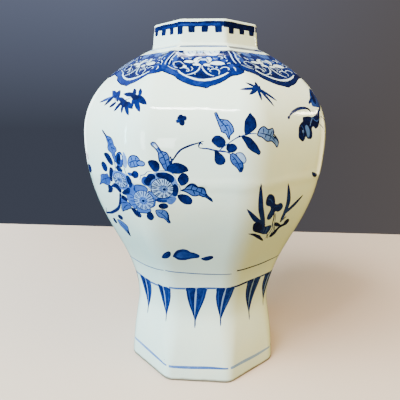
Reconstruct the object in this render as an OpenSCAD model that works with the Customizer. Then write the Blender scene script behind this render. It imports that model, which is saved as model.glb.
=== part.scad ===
// Octagonal baluster vase of blue-and-white porcelain, open at the neck and without a cover.
// Four hollow sections were pressed in moulds: the foot, the lower body, the shoulder and the neck.
// They stand on each other with a layer of slip between them, squeezed out as a bead on the inside,
// and a base plate closes the foot. The sections, the slip and the plate were fired as one pot.
// Millimetres, +Z up, origin at the centre of the plane that the foot rests on.
// A half width is measured from the axis to the middle of a side face, and the front face looks along -Y.

/* [Foot] */
// Half width of the foot where it rests
foot_half_width = 93.5; // [84:0.5:104]
// How far the foot's side runs straight up before it draws in
foot_rise = 44; // [30:1:56]
// Thickness of the foot's wall
foot_wall = 8; // [6.5:0.5:10]
// Size of the bevel along both edges of the foot's rest ring
foot_bevel = 1.5; // [0.5:0.25:2.5]
// Rounding of the foot's upright corners
foot_corner_radius = 17; // [12:1:24]

/* [Waist] */
// Height of the narrowest place above the foot
waist_height = 85; // [78:1:94]
// Half width at the narrowest place
waist_half_width = 85.5; // [76:0.5:92]
// How far the side stays upright below the waist
waist_fall = 14; // [6:1:24]
// How far the side stays upright above the waist
waist_rise = 71; // [56:1:82]
// Rounding of the upright corners at the waist
waist_corner_radius = 34; // [22:1:44]

/* [Belly] */
// Height of the widest place
belly_height = 294; // [284:1:304]
// Half width at the widest place
belly_half_width = 142; // [128:1:156]
// How far the side stays upright below the widest place
belly_fall = 103; // [80:1:116]
// How far the side stays upright above the widest place
belly_rise = 43; // [36:1:50]
// Thickness of the body's wall
body_wall = 6.5; // [5.5:0.5:8]
// Rounding of the upright corners at the widest place
belly_corner_radius = 48; // [36:1:60]

/* [Shoulder and neck] */
// Height of the shoulder's top, where the neck stands on it
shoulder_height = 393; // [384:1:402]
// Slope of the shoulder where it meets the neck, in degrees
shoulder_slope = 26.5; // [22:0.5:32]
// How far the shoulder keeps that slope
shoulder_reach = 55; // [44:1:60]
// Height of the neck
neck_height = 27; // [22:1:36]
// Half width of the neck above the curve at its base
neck_half_width = 61.2; // [56:0.2:66]
// Half width at the rim
rim_half_width = 59.2; // [54:0.2:64]
// How far the neck's base curves out where it meets the shoulder
neck_flare = 1; // [0.5:0.25:3]
// Height of that curve
neck_flare_height = 4; // [2:0.5:8]
// Thickness of the neck's wall
neck_wall = 6; // [5:0.5:8]
// Rounding of the rim's two edges
rim_round = 2; // [1:0.25:2.25]
// Rounding of the neck's upright corners
neck_corner_radius = 9; // [8:0.5:12]

/* [Base plate] */
// Height of the base plate's underside above the rest plane
base_recess = 10; // [6:0.5:16]
// Thickness of the base plate
base_thickness = 8; // [6:0.5:11]
// Side of the slip fillet between the base plate and the foot's wall
base_fillet = 6; // [4:0.5:9]

/* [Luted joints] */
// Height of the joint between the foot and the lower body
waist_joint_height = 122; // [110:1:136]
// Height of the joint between the lower body and the shoulder section
belly_joint_height = 250; // [236:1:262]
// How far the shoulder section stands out over the lower body at their joint
belly_step = 0.8; // [0:0.1:2]
// Height over which the lower body draws in to that step
belly_step_run = 24; // [12:1:36]
// Thickness of the slip between two sections
slip_thickness = 1; // [0.6:0.1:1.6]
// How far the slip has shrunk back from the outer face of a joint
slip_sink = 0.3; // [0.1:0.05:0.5]
// Height of the slip bead above and below the slip
bead_reach = 5; // [3:0.5:7]
// How far the slip bead stands in from the wall
bead_depth = 1.8; // [1:0.1:3]

/* [Hidden] */
SIDES = 8;
side_angle = 360 / SIDES;
// Straight steps in the rounding of an upright corner and of the rim
corner_steps = 5;
rim_steps = 3;
// Steps along each curve of the outer and of the inner face, from the foot up
outer_steps = [8, 18, 12, 4];
inner_steps = [4, 11, 8, 2];
// Rings in the lower body's step
belly_step_rings = 3;
// How often a range is halved to find the place of a height on a curve
search_steps = 26;
// The least rounding of an inside corner
inner_corner_min = 2;
// Height and depth of the bead's shoulder, and the hollow of the fillet, as shares of their whole size
bead_shoulder_share = 0.55;
bead_shoulder_depth_share = 0.75;
fillet_hollow_share = 0.36;
glazed_porcelain = "#e3e9e4";
bare_clay = "#e6d9c2";
dried_slip = "#d3cbb8";

rim_height = shoulder_height + neck_height;
shoulder_half_width = neck_half_width + neck_flare;
foot_inner_half_width = foot_half_width - foot_wall;
waist_inner_half_width = waist_half_width - foot_wall;
belly_inner_half_width = belly_half_width - body_wall;
neck_inner_half_width = neck_half_width - neck_wall;
rim_inner_half_width = rim_half_width - neck_wall;
half_slip = slip_thickness / 2;
shoulder_inner_height = shoulder_height - half_slip;
base_top = base_recess + base_thickness;
shoulder_run = shoulder_reach * [cos(shoulder_slope), -sin(shoulder_slope)];

// The outer and the inner face from the foot up: curves of [half width, height] with four control points
outer_curves = [
    [
        [foot_half_width, 0], [foot_half_width, foot_rise],
        [waist_half_width, waist_height - waist_fall], [waist_half_width, waist_height]
    ],
    [
        [waist_half_width, waist_height], [waist_half_width, waist_height + waist_rise],
        [belly_half_width, belly_height - belly_fall], [belly_half_width, belly_height]
    ],
    [
        [belly_half_width, belly_height], [belly_half_width, belly_height + belly_rise],
        [shoulder_half_width, shoulder_height] + shoulder_run, [shoulder_half_width, shoulder_height]
    ],
    [
        [shoulder_half_width, shoulder_height], [neck_half_width, shoulder_height],
        [neck_half_width, shoulder_height + neck_flare_height], [rim_half_width, rim_height]
    ]
];
inner_curves = [
    [
        [foot_inner_half_width, 0], [foot_inner_half_width, foot_rise],
        [waist_inner_half_width, waist_height - waist_fall], [waist_inner_half_width, waist_height]
    ],
    [
        [waist_inner_half_width, waist_height], [waist_inner_half_width, waist_height + waist_rise],
        [belly_inner_half_width, belly_height - belly_fall], [belly_inner_half_width, belly_height]
    ],
    [
        [belly_inner_half_width, belly_height], [belly_inner_half_width, belly_height + belly_rise],
        [neck_inner_half_width, shoulder_inner_height] + shoulder_run,
        [neck_inner_half_width, shoulder_inner_height]
    ],
    [
        [neck_inner_half_width, shoulder_inner_height], [neck_inner_half_width, shoulder_height],
        [neck_inner_half_width, shoulder_height], [rim_inner_half_width, rim_height]
    ]
];
// Rounding of the upright corners up the vase, as [height, radius]
corner_stations = [
    [0, foot_corner_radius], [waist_height, waist_corner_radius], [belly_height, belly_corner_radius],
    [shoulder_height, neck_corner_radius], [rim_height, neck_corner_radius]
];

function bezier(c, t) =
    c[0] * pow(1 - t, 3) + 3 * c[1] * t * pow(1 - t, 2) + 3 * c[2] * t * t * (1 - t) + c[3] * pow(t, 3);
function eased(x) = x * x * (3 - 2 * x);
function limited(x) = min(max(x, 0), 1);

// Where a curve that rises reaches height z, found by halving the range
function place_of(c, z, low = 0, high = 1, left = search_steps) =
    let (middle = (low + high) / 2)
    left == 0 ? middle
    : bezier(c, middle).y < z ? place_of(c, z, middle, high, left - 1)
    : place_of(c, z, low, middle, left - 1);
function half_width(curves, z, k = 0) =
    k == len(curves) - 1 || z <= curves[k][3].y
        ? bezier(curves[k], place_of(curves[k], z)).x
        : half_width(curves, z, k + 1);
function corner_radius(z, k = 0) =
    let (a = corner_stations[k], b = corner_stations[k + 1])
    k == len(corner_stations) - 2 || z <= b[0]
        ? a[1] + (b[1] - a[1]) * eased(limited((z - a[0]) / (b[0] - a[0])))
        : corner_radius(z, k + 1);

// The heights of the rings from z0 to z1, closer together where a curve turns fast
function heights(curves, steps, z0, z1) = [
    for (k = [0 : len(curves) - 1])
        let (c = curves[k], low = max(z0, c[0].y), high = min(z1, c[3].y))
        if (low < high)
            let (from = place_of(c, low), to = place_of(c, high), n = max(1, round(steps[k] * (to - from))))
            for (j = [0 : n - 1]) j == 0 ? low : bezier(c, from + (to - from) * j / n).y,
    z1
];
function outer_heights(z0, z1) = heights(outer_curves, outer_steps, z0, z1);
function inner_heights(z0, z1) = heights(inner_curves, inner_steps, z0, z1);

// A ring is [half width, corner radius, height]
function outer_ring(z) = [half_width(outer_curves, z), corner_radius(z), z];
function inner_ring(z) =
    let (outer = half_width(outer_curves, z), inner = half_width(inner_curves, z))
    [inner, max(corner_radius(z) - outer + inner, inner_corner_min), z];
function inset(ring, depth) = [ring[0] - depth, max(ring[1] - depth, inner_corner_min), ring[2]];
function outer_rings(z0, z1) = [for (z = outer_heights(z0, z1)) outer_ring(z)];
// The inner face is listed from the top down, and keeps a ring at each end of a slip bead
function inner_rings_down(z1, z0) =
    let (list = [for (z = inner_heights(z0, z1)) inner_ring(z)])
    [for (k = [len(list) - 1 : -1 : 0]) list[k]];

// The points of a ring go once round its rounded octagon, anticlockwise from above
function ring_points(ring) = [
    for (s = [0 : SIDES - 1], k = [0 : corner_steps])
        let (
            corner = side_angle * (s + 1 / 2),
            turn = corner + side_angle * (k / corner_steps - 1 / 2),
            centre = (ring[0] - ring[1]) / cos(side_angle / 2)
        )
        [centre * cos(corner) + ring[1] * cos(turn), centre * sin(corner) + ring[1] * sin(turn), ring[2]]
];
ring_count = SIDES * (corner_steps + 1);

// The closed solid between rings that are listed up its outer face and down its inner face
module ring_solid(rings) {
    points = [for (r = rings) each ring_points(r)];
    faces = [
        for (k = [0 : len(rings) - 1], j = [0 : ring_count - 1])
            let (
                a = k * ring_count,
                b = ((k + 1) % len(rings)) * ring_count,
                i = (j + 1) % ring_count
            )
            [a + j, b + j, b + i, a + i]
    ];
    polyhedron(points, faces);
}

// The slip of a joint: a layer between two sections and a bead pressed out on the inside
module luted_joint(z, outer_step = 0) {
    low = z - half_slip;
    high = z + half_slip;
    ring_solid([
        inset(outer_ring(low), outer_step + slip_sink),
        inset(outer_ring(high), outer_step + slip_sink),
        inner_ring(high),
        inner_ring(high + bead_reach),
        inset(inner_ring(high + bead_reach * bead_shoulder_share), bead_depth * bead_shoulder_depth_share),
        inset(inner_ring(z), bead_depth),
        inset(inner_ring(low - bead_reach * bead_shoulder_share), bead_depth * bead_shoulder_depth_share),
        inner_ring(low - bead_reach),
        inner_ring(low)
    ]);
}

module foot() {
    top = waist_joint_height - half_slip;
    color(glazed_porcelain) ring_solid([
        [foot_half_width - foot_bevel, foot_corner_radius, 0],
        each outer_rings(foot_bevel, top),
        inner_ring(top),
        each inner_rings_down(top - bead_reach, base_top + base_fillet),
        inner_ring(base_top),
        inner_ring(base_recess),
        inner_ring(foot_bevel),
        [foot_inner_half_width + foot_bevel, foot_corner_radius - foot_wall + foot_bevel, 0]
    ]);
}

module base_plate() {
    color(bare_clay) polyhedron(
        [each ring_points(inner_ring(base_recess)), each ring_points(inner_ring(base_top))],
        [
            [for (j = [0 : ring_count - 1]) j],
            [for (j = [0 : ring_count - 1]) 2 * ring_count - 1 - j],
            for (j = [0 : ring_count - 1])
                let (i = (j + 1) % ring_count)
                [j, ring_count + j, ring_count + i, i]
        ]
    );
}

module base_slip() {
    hollow = base_fillet * fillet_hollow_share;
    color(dried_slip) ring_solid([
        inner_ring(base_top),
        inner_ring(base_top + base_fillet),
        inset(inner_ring(base_top + hollow), hollow),
        inset(inner_ring(base_top), base_fillet)
    ]);
}

module waist_slip() {
    color(dried_slip) luted_joint(waist_joint_height);
}

module lower_body() {
    low = waist_joint_height + half_slip;
    high = belly_joint_height - half_slip;
    step_start = belly_joint_height - belly_step_run;
    color(glazed_porcelain) ring_solid([
        each outer_rings(low, step_start),
        for (k = [1 : belly_step_rings])
            let (share = k / belly_step_rings)
            inset(outer_ring(step_start + (high - step_start) * share), belly_step * eased(share)),
        inner_ring(high),
        each inner_rings_down(high - bead_reach, low + bead_reach),
        inner_ring(low)
    ]);
}

module belly_slip() {
    color(dried_slip) luted_joint(belly_joint_height, belly_step);
}

module shoulder() {
    low = belly_joint_height + half_slip;
    high = shoulder_height - half_slip;
    color(glazed_porcelain) ring_solid([
        each outer_rings(low, high),
        inner_ring(high),
        each inner_rings_down(high - bead_reach, low + bead_reach),
        inner_ring(low)
    ]);
}

module neck_slip() {
    color(dried_slip) luted_joint(shoulder_height);
}

module neck() {
    low = shoulder_height + half_slip;
    rim_start = rim_height - rim_round;
    color(glazed_porcelain) ring_solid([
        each outer_rings(low, rim_start),
        for (k = [1 : rim_steps])
            let (turn = 90 * k / rim_steps, rise = rim_start + rim_round * sin(turn))
            inset(outer_ring(rise), rim_round * (1 - cos(turn))),
        for (k = [rim_steps : -1 : 1])
            let (turn = 90 * k / rim_steps, rise = rim_start + rim_round * sin(turn))
            inset(inner_ring(rise), -rim_round * (1 - cos(turn))),
        each inner_rings_down(rim_start, low + bead_reach),
        inner_ring(low)
    ]);
}

foot();
base_plate();
base_slip();
waist_slip();
lower_body();
belly_slip();
shoulder();
neck_slip();
neck();
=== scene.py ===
import math

import bmesh
import bpy
import numpy as np
from mathutils import Matrix, Vector
from mathutils.geometry import delaunay_2d_cdt


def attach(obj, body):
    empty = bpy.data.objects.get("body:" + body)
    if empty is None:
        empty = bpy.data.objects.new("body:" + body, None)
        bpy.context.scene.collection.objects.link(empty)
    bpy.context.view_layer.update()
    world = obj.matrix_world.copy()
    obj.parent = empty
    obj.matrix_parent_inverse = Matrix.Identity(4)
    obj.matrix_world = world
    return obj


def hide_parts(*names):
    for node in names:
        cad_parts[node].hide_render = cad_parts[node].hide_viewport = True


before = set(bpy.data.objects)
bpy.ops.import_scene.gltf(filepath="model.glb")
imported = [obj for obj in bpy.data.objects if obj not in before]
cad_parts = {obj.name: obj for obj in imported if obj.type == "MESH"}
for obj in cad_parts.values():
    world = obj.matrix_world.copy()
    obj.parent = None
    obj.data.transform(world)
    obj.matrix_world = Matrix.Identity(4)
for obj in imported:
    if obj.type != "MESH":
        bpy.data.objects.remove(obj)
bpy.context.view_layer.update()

# The foot: the hollow section that the vase stands on, a sheet of porcelain clay pressed in its mould up
# to above the waist. Sixteen leaves hang from the line at its top, and a pale line runs round it near the
# ground. The glaze stops short of the ground, where the clay is bare; just above it, a brown band is partly
# clay burnt a little brown and partly painted shade where the foot meets the table.
MM = 0.001
SIDES = 8
FOOT_HALF = 93.5
FOOT_WALL = 8
FOOT_CORNER = 17
FOOT_BEVEL = 1.5
WAIST_HEIGHT = 85
WAIST_HALF = 85.5
BELLY_HEIGHT = 294
BELLY_HALF = 142
BODY_WALL = 6.5
NECK_HALF = 61.2
NECK_WALL = 6
RIM_HEIGHT = 420
RIM_HALF = 59.2
RIM_ROUND = 2
WAIST_JOINT = 122
BELLY_JOINT = 250
NECK_JOINT = 393
SHOULDER_HALF = 62.2
SHOULDER_LINING = 392.5
HALF_SLIP = 0.5
SLIP_SINK = 0.3
STEP = 0.8
STEP_RUN = 24
STEP_SOFTNESS = 3
POINTS_PER_CURVE = 500
LEAST_INNER_CORNER = 2

# The form that the moulds gave all four wall sections: curves of [half width, height] up the wall
foot_in = FOOT_HALF - FOOT_WALL
waist_in = WAIST_HALF - FOOT_WALL
belly_in = BELLY_HALF - BODY_WALL
neck_in = NECK_HALF - NECK_WALL
rim_in = RIM_HALF - NECK_WALL
outer_curves = [
    [(FOOT_HALF, 0), (FOOT_HALF, 44), (WAIST_HALF, 71), (WAIST_HALF, WAIST_HEIGHT)],
    [(WAIST_HALF, WAIST_HEIGHT), (WAIST_HALF, 156), (BELLY_HALF, 191), (BELLY_HALF, BELLY_HEIGHT)],
    [(BELLY_HALF, BELLY_HEIGHT), (BELLY_HALF, 337), (111.42, 368.46), (SHOULDER_HALF, NECK_JOINT)],
    [(SHOULDER_HALF, NECK_JOINT), (NECK_HALF, NECK_JOINT), (NECK_HALF, 397), (RIM_HALF, RIM_HEIGHT)]
]
inner_curves = [
    [(foot_in, 0), (foot_in, 44), (waist_in, 71), (waist_in, WAIST_HEIGHT)],
    [(waist_in, WAIST_HEIGHT), (waist_in, 156), (belly_in, 191), (belly_in, BELLY_HEIGHT)],
    [(belly_in, BELLY_HEIGHT), (belly_in, 337), (104.42, 367.96), (neck_in, SHOULDER_LINING)],
    [(neck_in, SHOULDER_LINING), (neck_in, NECK_JOINT), (neck_in, NECK_JOINT), (rim_in, RIM_HEIGHT)]
]
corner_heights = [0, WAIST_HEIGHT, BELLY_HEIGHT, NECK_JOINT, RIM_HEIGHT]
corner_rounds = [FOOT_CORNER, 34, 48, 9, 9]


def traced(curves):
    """Points of [half width, height] along a chain of curves with four control points each."""
    t = np.linspace(0, 1, POINTS_PER_CURVE)[:, None]
    return np.vstack([
        np.array(a) * (1 - t) ** 3 + 3 * np.array(b) * t * (1 - t) ** 2
        + 3 * np.array(c) * t ** 2 * (1 - t) + np.array(d) * t ** 3
        for a, b, c, d in curves
    ])


profile = traced(outer_curves)
inner_profile = traced(inner_curves)
climb = np.concatenate([[0], np.cumsum(np.hypot(*np.diff(profile, axis=0).T))])


def climb_to(height):
    """How far up the outer face, along its curve from the rest plane, a height is."""
    return float(np.interp(height, profile[:, 1], climb))


RIM_CLIMB = climb_to(RIM_HEIGHT - RIM_ROUND)
RIM_TOP_CLIMB = RIM_CLIMB + RIM_ROUND * math.pi / 2


def eased(x):
    """A share from 0 to 1 that starts and ends softly."""
    x = np.clip(x, 0, 1)
    return x * x * (3 - 2 * x)


def section_at(up):
    """Half width, corner rounding and height at a climb; the last stretch turns over the rim."""
    up = np.asarray(up, float)
    half = np.interp(up, climb, profile[:, 0])
    height = np.interp(up, climb, profile[:, 1])
    turn = np.clip((up - RIM_CLIMB) / RIM_ROUND, 0, math.pi / 2)
    over = up > RIM_CLIMB
    rim_half = np.interp(RIM_CLIMB, climb, profile[:, 0])
    half = np.where(over, rim_half - RIM_ROUND * (1 - np.cos(turn)), half)
    height = np.where(over, RIM_HEIGHT - RIM_ROUND + RIM_ROUND * np.sin(turn), height)
    corner = np.zeros_like(up)
    for k in range(len(corner_heights) - 1):
        low, high = corner_heights[k:k + 2]
        here, there = corner_rounds[k:k + 2]
        rounding = here + (there - here) * eased((height - low) / (high - low))
        corner = np.where((height >= low) | (k == 0), rounding, corner)
    return half, corner, height


def half_run(up):
    """Half the length of one side face round the outside, corner to corner, at a climb."""
    half, corner, _ = section_at(up)
    return (half - corner) * math.tan(math.pi / SIDES) + corner * math.pi / SIDES


# The hand of the potter: how far the pressed wall lies inside the true mould, in slow waves
WAVES_REACH = 1.05
WAVES_DEPTH = 0.4
JOINT_REACH = 14
FOOT_CALM = 30
RIM_CALM = 20
# A face is this wide on the unrolled wall, which is its real width just under the shoulder
FACE_RUN = 91.6
WALL_START = -4.5 * FACE_RUN
WALL_END = 3.5 * FACE_RUN
# Height of a wave as a share, how many go round the vase, climb for one radian of it, and its start
press_waves = [
    (0.30, 3, 37, 0.4), (0.26, 5, -29, 2.1), (0.20, 11, 23, 1.2), (0.16, 2, 13, 4.4), (0.13, 17, -17, 5.0)
]


def hand_pressing(side, up, height):
    """How far the real wall lies inside the true mould: slow waves, and the step at the belly joint."""
    turn = 2 * math.pi * side / SIDES
    waves = sum(share * np.sin(count * turn + up / rise + start) for share, count, rise, start in press_waves)
    free = eased(up / FOOT_CALM) * eased((RIM_TOP_CLIMB - up) / RIM_CALM)
    for joint in (WAIST_JOINT, BELLY_JOINT, NECK_JOINT):
        free = free * (1 - np.exp(-((height - joint) / JOINT_REACH) ** 2))
    step_share = 0.72 + 0.28 * np.sin(2 * turn + 0.9)
    below = eased((height - BELLY_JOINT + STEP_RUN) / STEP_RUN)
    above = 1 - eased((height - BELLY_JOINT) / STEP_SOFTNESS)
    step = STEP * step_share * np.where(height < BELLY_JOINT, below, above)
    return WAVES_DEPTH * (WAVES_REACH + waves) * free + step


def around(side, half, corner, height):
    """A point of the rounded octagon; side counts the faces, anticlockwise from the front one."""
    face = np.round(side)
    flat = (half - corner) * math.tan(math.pi / SIDES)
    along = (side - face) * 2 * (flat + corner * math.pi / SIDES)
    turn = np.clip((np.abs(along) - flat) / corner, 0, None)
    out = np.where(turn > 0, half - corner + corner * np.cos(turn), half)
    sideways = np.where(turn > 0, np.sign(along) * (flat + corner * np.sin(turn)), along)
    angle = face * 2 * math.pi / SIDES
    x = out * np.sin(angle) + sideways * np.cos(angle)
    y = -out * np.cos(angle) + sideways * np.sin(angle)
    return np.stack([x, y, height + 0 * x], -1)


def outer_face(x, up):
    """A place on the unrolled wall, in its place on the vase."""
    half, corner, height = section_at(up)
    side = np.asarray(x, float) / FACE_RUN
    return around(side, half - hand_pressing(side, up, height), corner, height)


# The painter's brush: cobalt laid on the raw wall, under the glaze, one patch over another
LINE_STEP = 2.2
BRUSH_PULL = 0.42
SWELL_IN = 0.4
SWELL_OUT = 0.5
patches = []


def on_ring(face_run):
    """Takes millimetres round the wall, where a face is that wide, and up it, to the unrolled wall."""
    def placed(points):
        points = np.asarray(points, float)
        return np.stack([points[:, 0] / face_run * FACE_RUN, points[:, 1]], -1)
    return placed


def through(points, closed=False):
    """A smooth line through points that the brush passes."""
    p = np.array(points, float)
    if closed:
        before, after, far = np.roll(p, 1, 0), np.roll(p, -1, 0), np.roll(p, -2, 0)
    else:
        before, after, far = p[[0, *range(len(p) - 1)]], p[1:], np.vstack([p[2:], p[-1:]])
    line = []
    for a, b, c, d in zip(before, p, after, far):
        pull_b = (c - a) * BRUSH_PULL
        pull_c = (d - b) * BRUSH_PULL
        pieces = max(1, int(math.ceil(np.hypot(*(c - b)) / LINE_STEP)))
        for t in [j / pieces for j in range(pieces)]:
            line.append(
                b * (2 * t ** 3 - 3 * t ** 2 + 1) + pull_b * (t ** 3 - 2 * t ** 2 + t)
                + c * (3 * t ** 2 - 2 * t ** 3) + pull_c * (t ** 3 - t ** 2)
            )
    if not closed:
        line.append(p[-1])
    return np.array(line)


def lay(placed, outline, tone):
    """Lays a patch. Its tone, from 0, bare, to 1, the darkest blue, may change from its first point."""
    near, far = tone if isinstance(tone, tuple) else (tone, tone)
    outline = placed(outline)
    start = outline[0]
    end = outline[np.argmax(np.hypot(*(outline - start).T))]
    patches.append((outline, near, far, start, end))


def wash(placed, points, tone):
    """A filled patch with a smooth edge."""
    lay(placed, through(points, closed=True), tone)


def brush(placed, points, width, tone, ends=(0.55, 0.3), closed=False):
    """A line of the brush; ends are the shares of the width at its start and finish."""
    spine = through(points, closed)
    if closed:
        spine = np.vstack([spine, spine[:1]])
    along = np.gradient(spine, axis=0)
    if closed:
        along[0] = along[-1] = spine[1] - spine[-2]
    along /= np.maximum(np.hypot(*along.T), 1e-9)[:, None]
    across = np.stack([-along[:, 1], along[:, 0]], -1)
    t = np.linspace(0, 1, len(spine))
    if closed:
        swell = np.ones_like(t)
    else:
        swell = np.minimum(
            ends[0] + (1 - ends[0]) * np.sin(np.clip(t / SWELL_IN, 0, 1) * math.pi / 2),
            ends[1] + (1 - ends[1]) * np.sin(np.clip((1 - t) / SWELL_OUT, 0, 1) * math.pi / 2)
        )
    reach = across * (width / 2 * swell)[:, None]
    lay(placed, np.vstack([spine + reach, (spine - reach)[::-1]]), tone)


# The wall itself: a sheet cut along the edge of every patch, so that the painting lies in its own faces
GRID_COLUMNS = 28
ROW = 3.6
INNER_ROW = 9
CUT_TOLERANCE = 1e-4
RIM_SNAP = 2e-3
NORMAL_STEP = 0.05
WELD_GAP = 0.02
joint_sinks = {WAIST_JOINT: SLIP_SINK, BELLY_JOINT: STEP + SLIP_SINK, NECK_JOINT: SLIP_SINK}


def rows_between(low, high, row=ROW):
    """Even climbs from one height to another, about a row apart."""
    low, high = climb_to(low), climb_to(high)
    return list(np.linspace(low, high, int(round((high - low) / row)) + 1))


def is_inside(points, outline):
    """Which points lie inside an outline, by how often it winds round them."""
    a, b = outline, np.roll(outline, -1, 0)
    x, y = points[:, 0][:, None], points[:, 1][:, None]
    side = (b[:, 0] - a[:, 0]) * (y - a[:, 1]) - (x - a[:, 0]) * (b[:, 1] - a[:, 1])
    rising = (a[:, 1] <= y) & (b[:, 1] > y) & (side > 0)
    falling = (a[:, 1] > y) & (b[:, 1] <= y) & (side < 0)
    return rising.sum(1) != falling.sum(1)


def patches_between(low, high):
    """The patches that show on a stretch of the unrolled wall, moved round it to where they show."""
    shown = []
    for outline, near, far, start, end in patches:
        for shift in (-SIDES * FACE_RUN, 0, SIDES * FACE_RUN):
            moved = outline + (shift, 0)
            least, most = moved.min(0), moved.max(0)
            if most[0] >= WALL_START and least[0] <= WALL_END and most[1] >= low and least[1] <= high:
                shown.append((moved, near, far, start + (shift, 0), end + (shift, 0)))
    return shown


def cut_sheet(rows, shown):
    """The unrolled wall as points and triangles, with the middle of each, cut along every patch's edge.

    The cut is made on the unrolled wall, because a brush line crosses the wall's own mesh at any angle."""
    low, high = rows[0], rows[-1]
    columns = np.linspace(WALL_START, WALL_END, SIDES * GRID_COLUMNS + 1)
    grid = np.stack(np.meshgrid(columns, rows), -1).reshape(-1, 2)
    border = np.array([[WALL_START, low], [WALL_END, low], [WALL_END, high], [WALL_START, high]])
    points = [grid]
    edges = []
    total = len(grid)
    for outline in [border] + [patch[0] for patch in shown]:
        count = len(outline)
        points.append(outline)
        edges += [(total + k, total + (k + 1) % count) for k in range(count)]
        total += count
    cut = delaunay_2d_cdt([Vector(p) for p in np.vstack(points).tolist()], edges, [], 0, CUT_TOLERANCE)
    flat = np.array([tuple(p) for p in cut[0]])
    faces = np.array([f for f in cut[2] if len(f) == 3])
    centres = flat[faces].mean(1)
    kept = ((centres > (WALL_START, low)) & (centres < (WALL_END, high))).all(1)
    for edge in (low, high):
        flat[:, 1] = np.where(np.abs(flat[:, 1] - edge) < RIM_SNAP, edge, flat[:, 1])
    return flat, faces[kept], centres[kept]


def cobalt_tones(triangles, centres, shown):
    """The tone of cobalt at the corners of each triangle, from the last patch laid over it."""
    tones = np.zeros((len(triangles), 3))
    for outline, near, far, start, end in shown:
        close = np.nonzero(((centres >= outline.min(0)) & (centres <= outline.max(0))).all(1))[0]
        covered = close[is_inside(centres[close], outline)]
        axis = end - start
        share = ((triangles[covered] - start) @ axis) / max(axis @ axis, 1e-9)
        tones[covered] = near + (far - near) * np.clip(share, 0, 1)
    return tones


def painted_skin(rows):
    """The outer face of one section with its painting, and its two open rims, bottom and top."""
    low, high = rows[0], rows[-1]
    shown = patches_between(low, high)
    flat, faces, centres = cut_sheet(rows, shown)
    tones = cobalt_tones(flat[faces], centres, shown)
    used, faces = np.unique(faces, return_inverse=True)
    x, up = flat[used].T
    along = outer_face(x + NORMAL_STEP, up) - outer_face(x - NORMAL_STEP, up)
    rise = outer_face(x, np.minimum(up + NORMAL_STEP, RIM_TOP_CLIMB)) - outer_face(x, up - NORMAL_STEP)
    normals = np.cross(along, rise)
    normals /= np.linalg.norm(normals, axis=1)[:, None]

    skin = bmesh.new()
    cobalt = skin.loops.layers.float.new("cobalt")
    skin_layer = skin.faces.layers.int.new("skin")
    side_layer = skin.verts.layers.float.new("side")
    normal_layer = skin.verts.layers.float_vector.new("form_normal")
    verts = []
    for place, normal, side in zip(outer_face(x, up), normals, x / FACE_RUN):
        vert = skin.verts.new(place * MM)
        vert[side_layer] = side
        vert[normal_layer] = normal
        verts.append(vert)
    for triangle, tone in zip(faces.reshape(-1, 3), tones):
        face = skin.faces.new([verts[k] for k in triangle])
        face.smooth = True
        face[skin_layer] = 1
        for loop, value in zip(face.loops, tone):
            loop[cobalt] = value
    bmesh.ops.remove_doubles(skin, verts=skin.verts, dist=WELD_GAP * MM)
    open_edges = [e for e in skin.edges if e.is_boundary]
    middle = (section_at(low)[2] + section_at(high)[2]) / 2 * MM
    bottom = [e for e in open_edges if e.verts[0].co.z < middle]
    top = [e for e in open_edges if e.verts[0].co.z >= middle]
    return skin, bottom, top


def grow_ring(wall, rim, half, corner, height, smooth=True):
    """Draws the open rim on to a ring of the given half width, corner rounding and height."""
    side_layer = wall.verts.layers.float["side"]
    skin_layer = wall.faces.layers.int["skin"]
    grown = bmesh.ops.extrude_edge_only(wall, edges=rim)["geom"]
    ring = {g for g in grown if isinstance(g, bmesh.types.BMVert)}
    for vert in ring:
        vert.co = Vector(around(vert[side_layer], half, corner, height)) * MM
    for face in (g for g in grown if isinstance(g, bmesh.types.BMFace)):
        face.smooth = smooth
        face[skin_layer] = 0
    return [g for g in grown if isinstance(g, bmesh.types.BMEdge) and ring.issuperset(g.verts)]


def outer_section(height, inset):
    """Half width, corner rounding and height a little inside the wall's outer face."""
    half, corner, _ = (float(v) for v in section_at(climb_to(height)))
    return half - inset, corner, height


def inner_section(height):
    """Half width, corner rounding and height of the wall's inner face."""
    half, corner, _ = (float(v) for v in section_at(climb_to(height)))
    inner_half = float(np.interp(height, inner_profile[:, 1], inner_profile[:, 0]))
    return inner_half, max(corner - half + inner_half, LEAST_INNER_CORNER), height


def meet_slip(wall, rim, joint, away):
    """Turns an open rim in to the slip of a joint; away is -1 for a wall under it and 1 for one above."""
    for height in (joint, joint + away * HALF_SLIP):
        rim = grow_ring(wall, rim, *outer_section(height, joint_sinks[joint]), smooth=False)
    return rim


def line_wall(wall, rim, top, bottom):
    """Carries the inner face from the open rim down the wall, from one height to another."""
    for height in np.linspace(top, bottom, int(round((top - bottom) / INNER_ROW)) + 1):
        rim = grow_ring(wall, rim, *inner_section(height))
    return rim


def line_below(wall, rim, joint, bottom):
    """Carries a wall over its top under a joint, and down its inner face."""
    rim = grow_ring(wall, rim, *inner_section(joint - HALF_SLIP), smooth=False)
    return line_wall(wall, rim, joint - INNER_ROW, bottom)


def join_rims(wall, rim, other):
    """Closes the wall between two rims, each matched to the other by the place round the wall."""
    side_layer = wall.verts.layers.float["side"]
    skin_layer = wall.faces.layers.int["skin"]
    rings = []
    for edges in (rim, other):
        ring = sorted({vert for edge in edges for vert in edge.verts}, key=lambda vert: vert[side_layer])
        sides = [vert[side_layer] for vert in ring]
        rings.append((ring + ring[:1], sides + [sides[0] + SIDES]))
    (first, first_sides), (second, second_sides) = rings
    a = b = 0
    while a < len(first) - 1 or b < len(second) - 1:
        second_is_done = b == len(second) - 1
        if second_is_done or (a < len(first) - 1 and first_sides[a + 1] <= second_sides[b + 1]):
            face = wall.faces.new((first[a], first[a + 1], second[b]))
            a += 1
        else:
            face = wall.faces.new((first[a], second[b + 1], second[b]))
            b += 1
        face.smooth = False
        face[skin_layer] = 0


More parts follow.
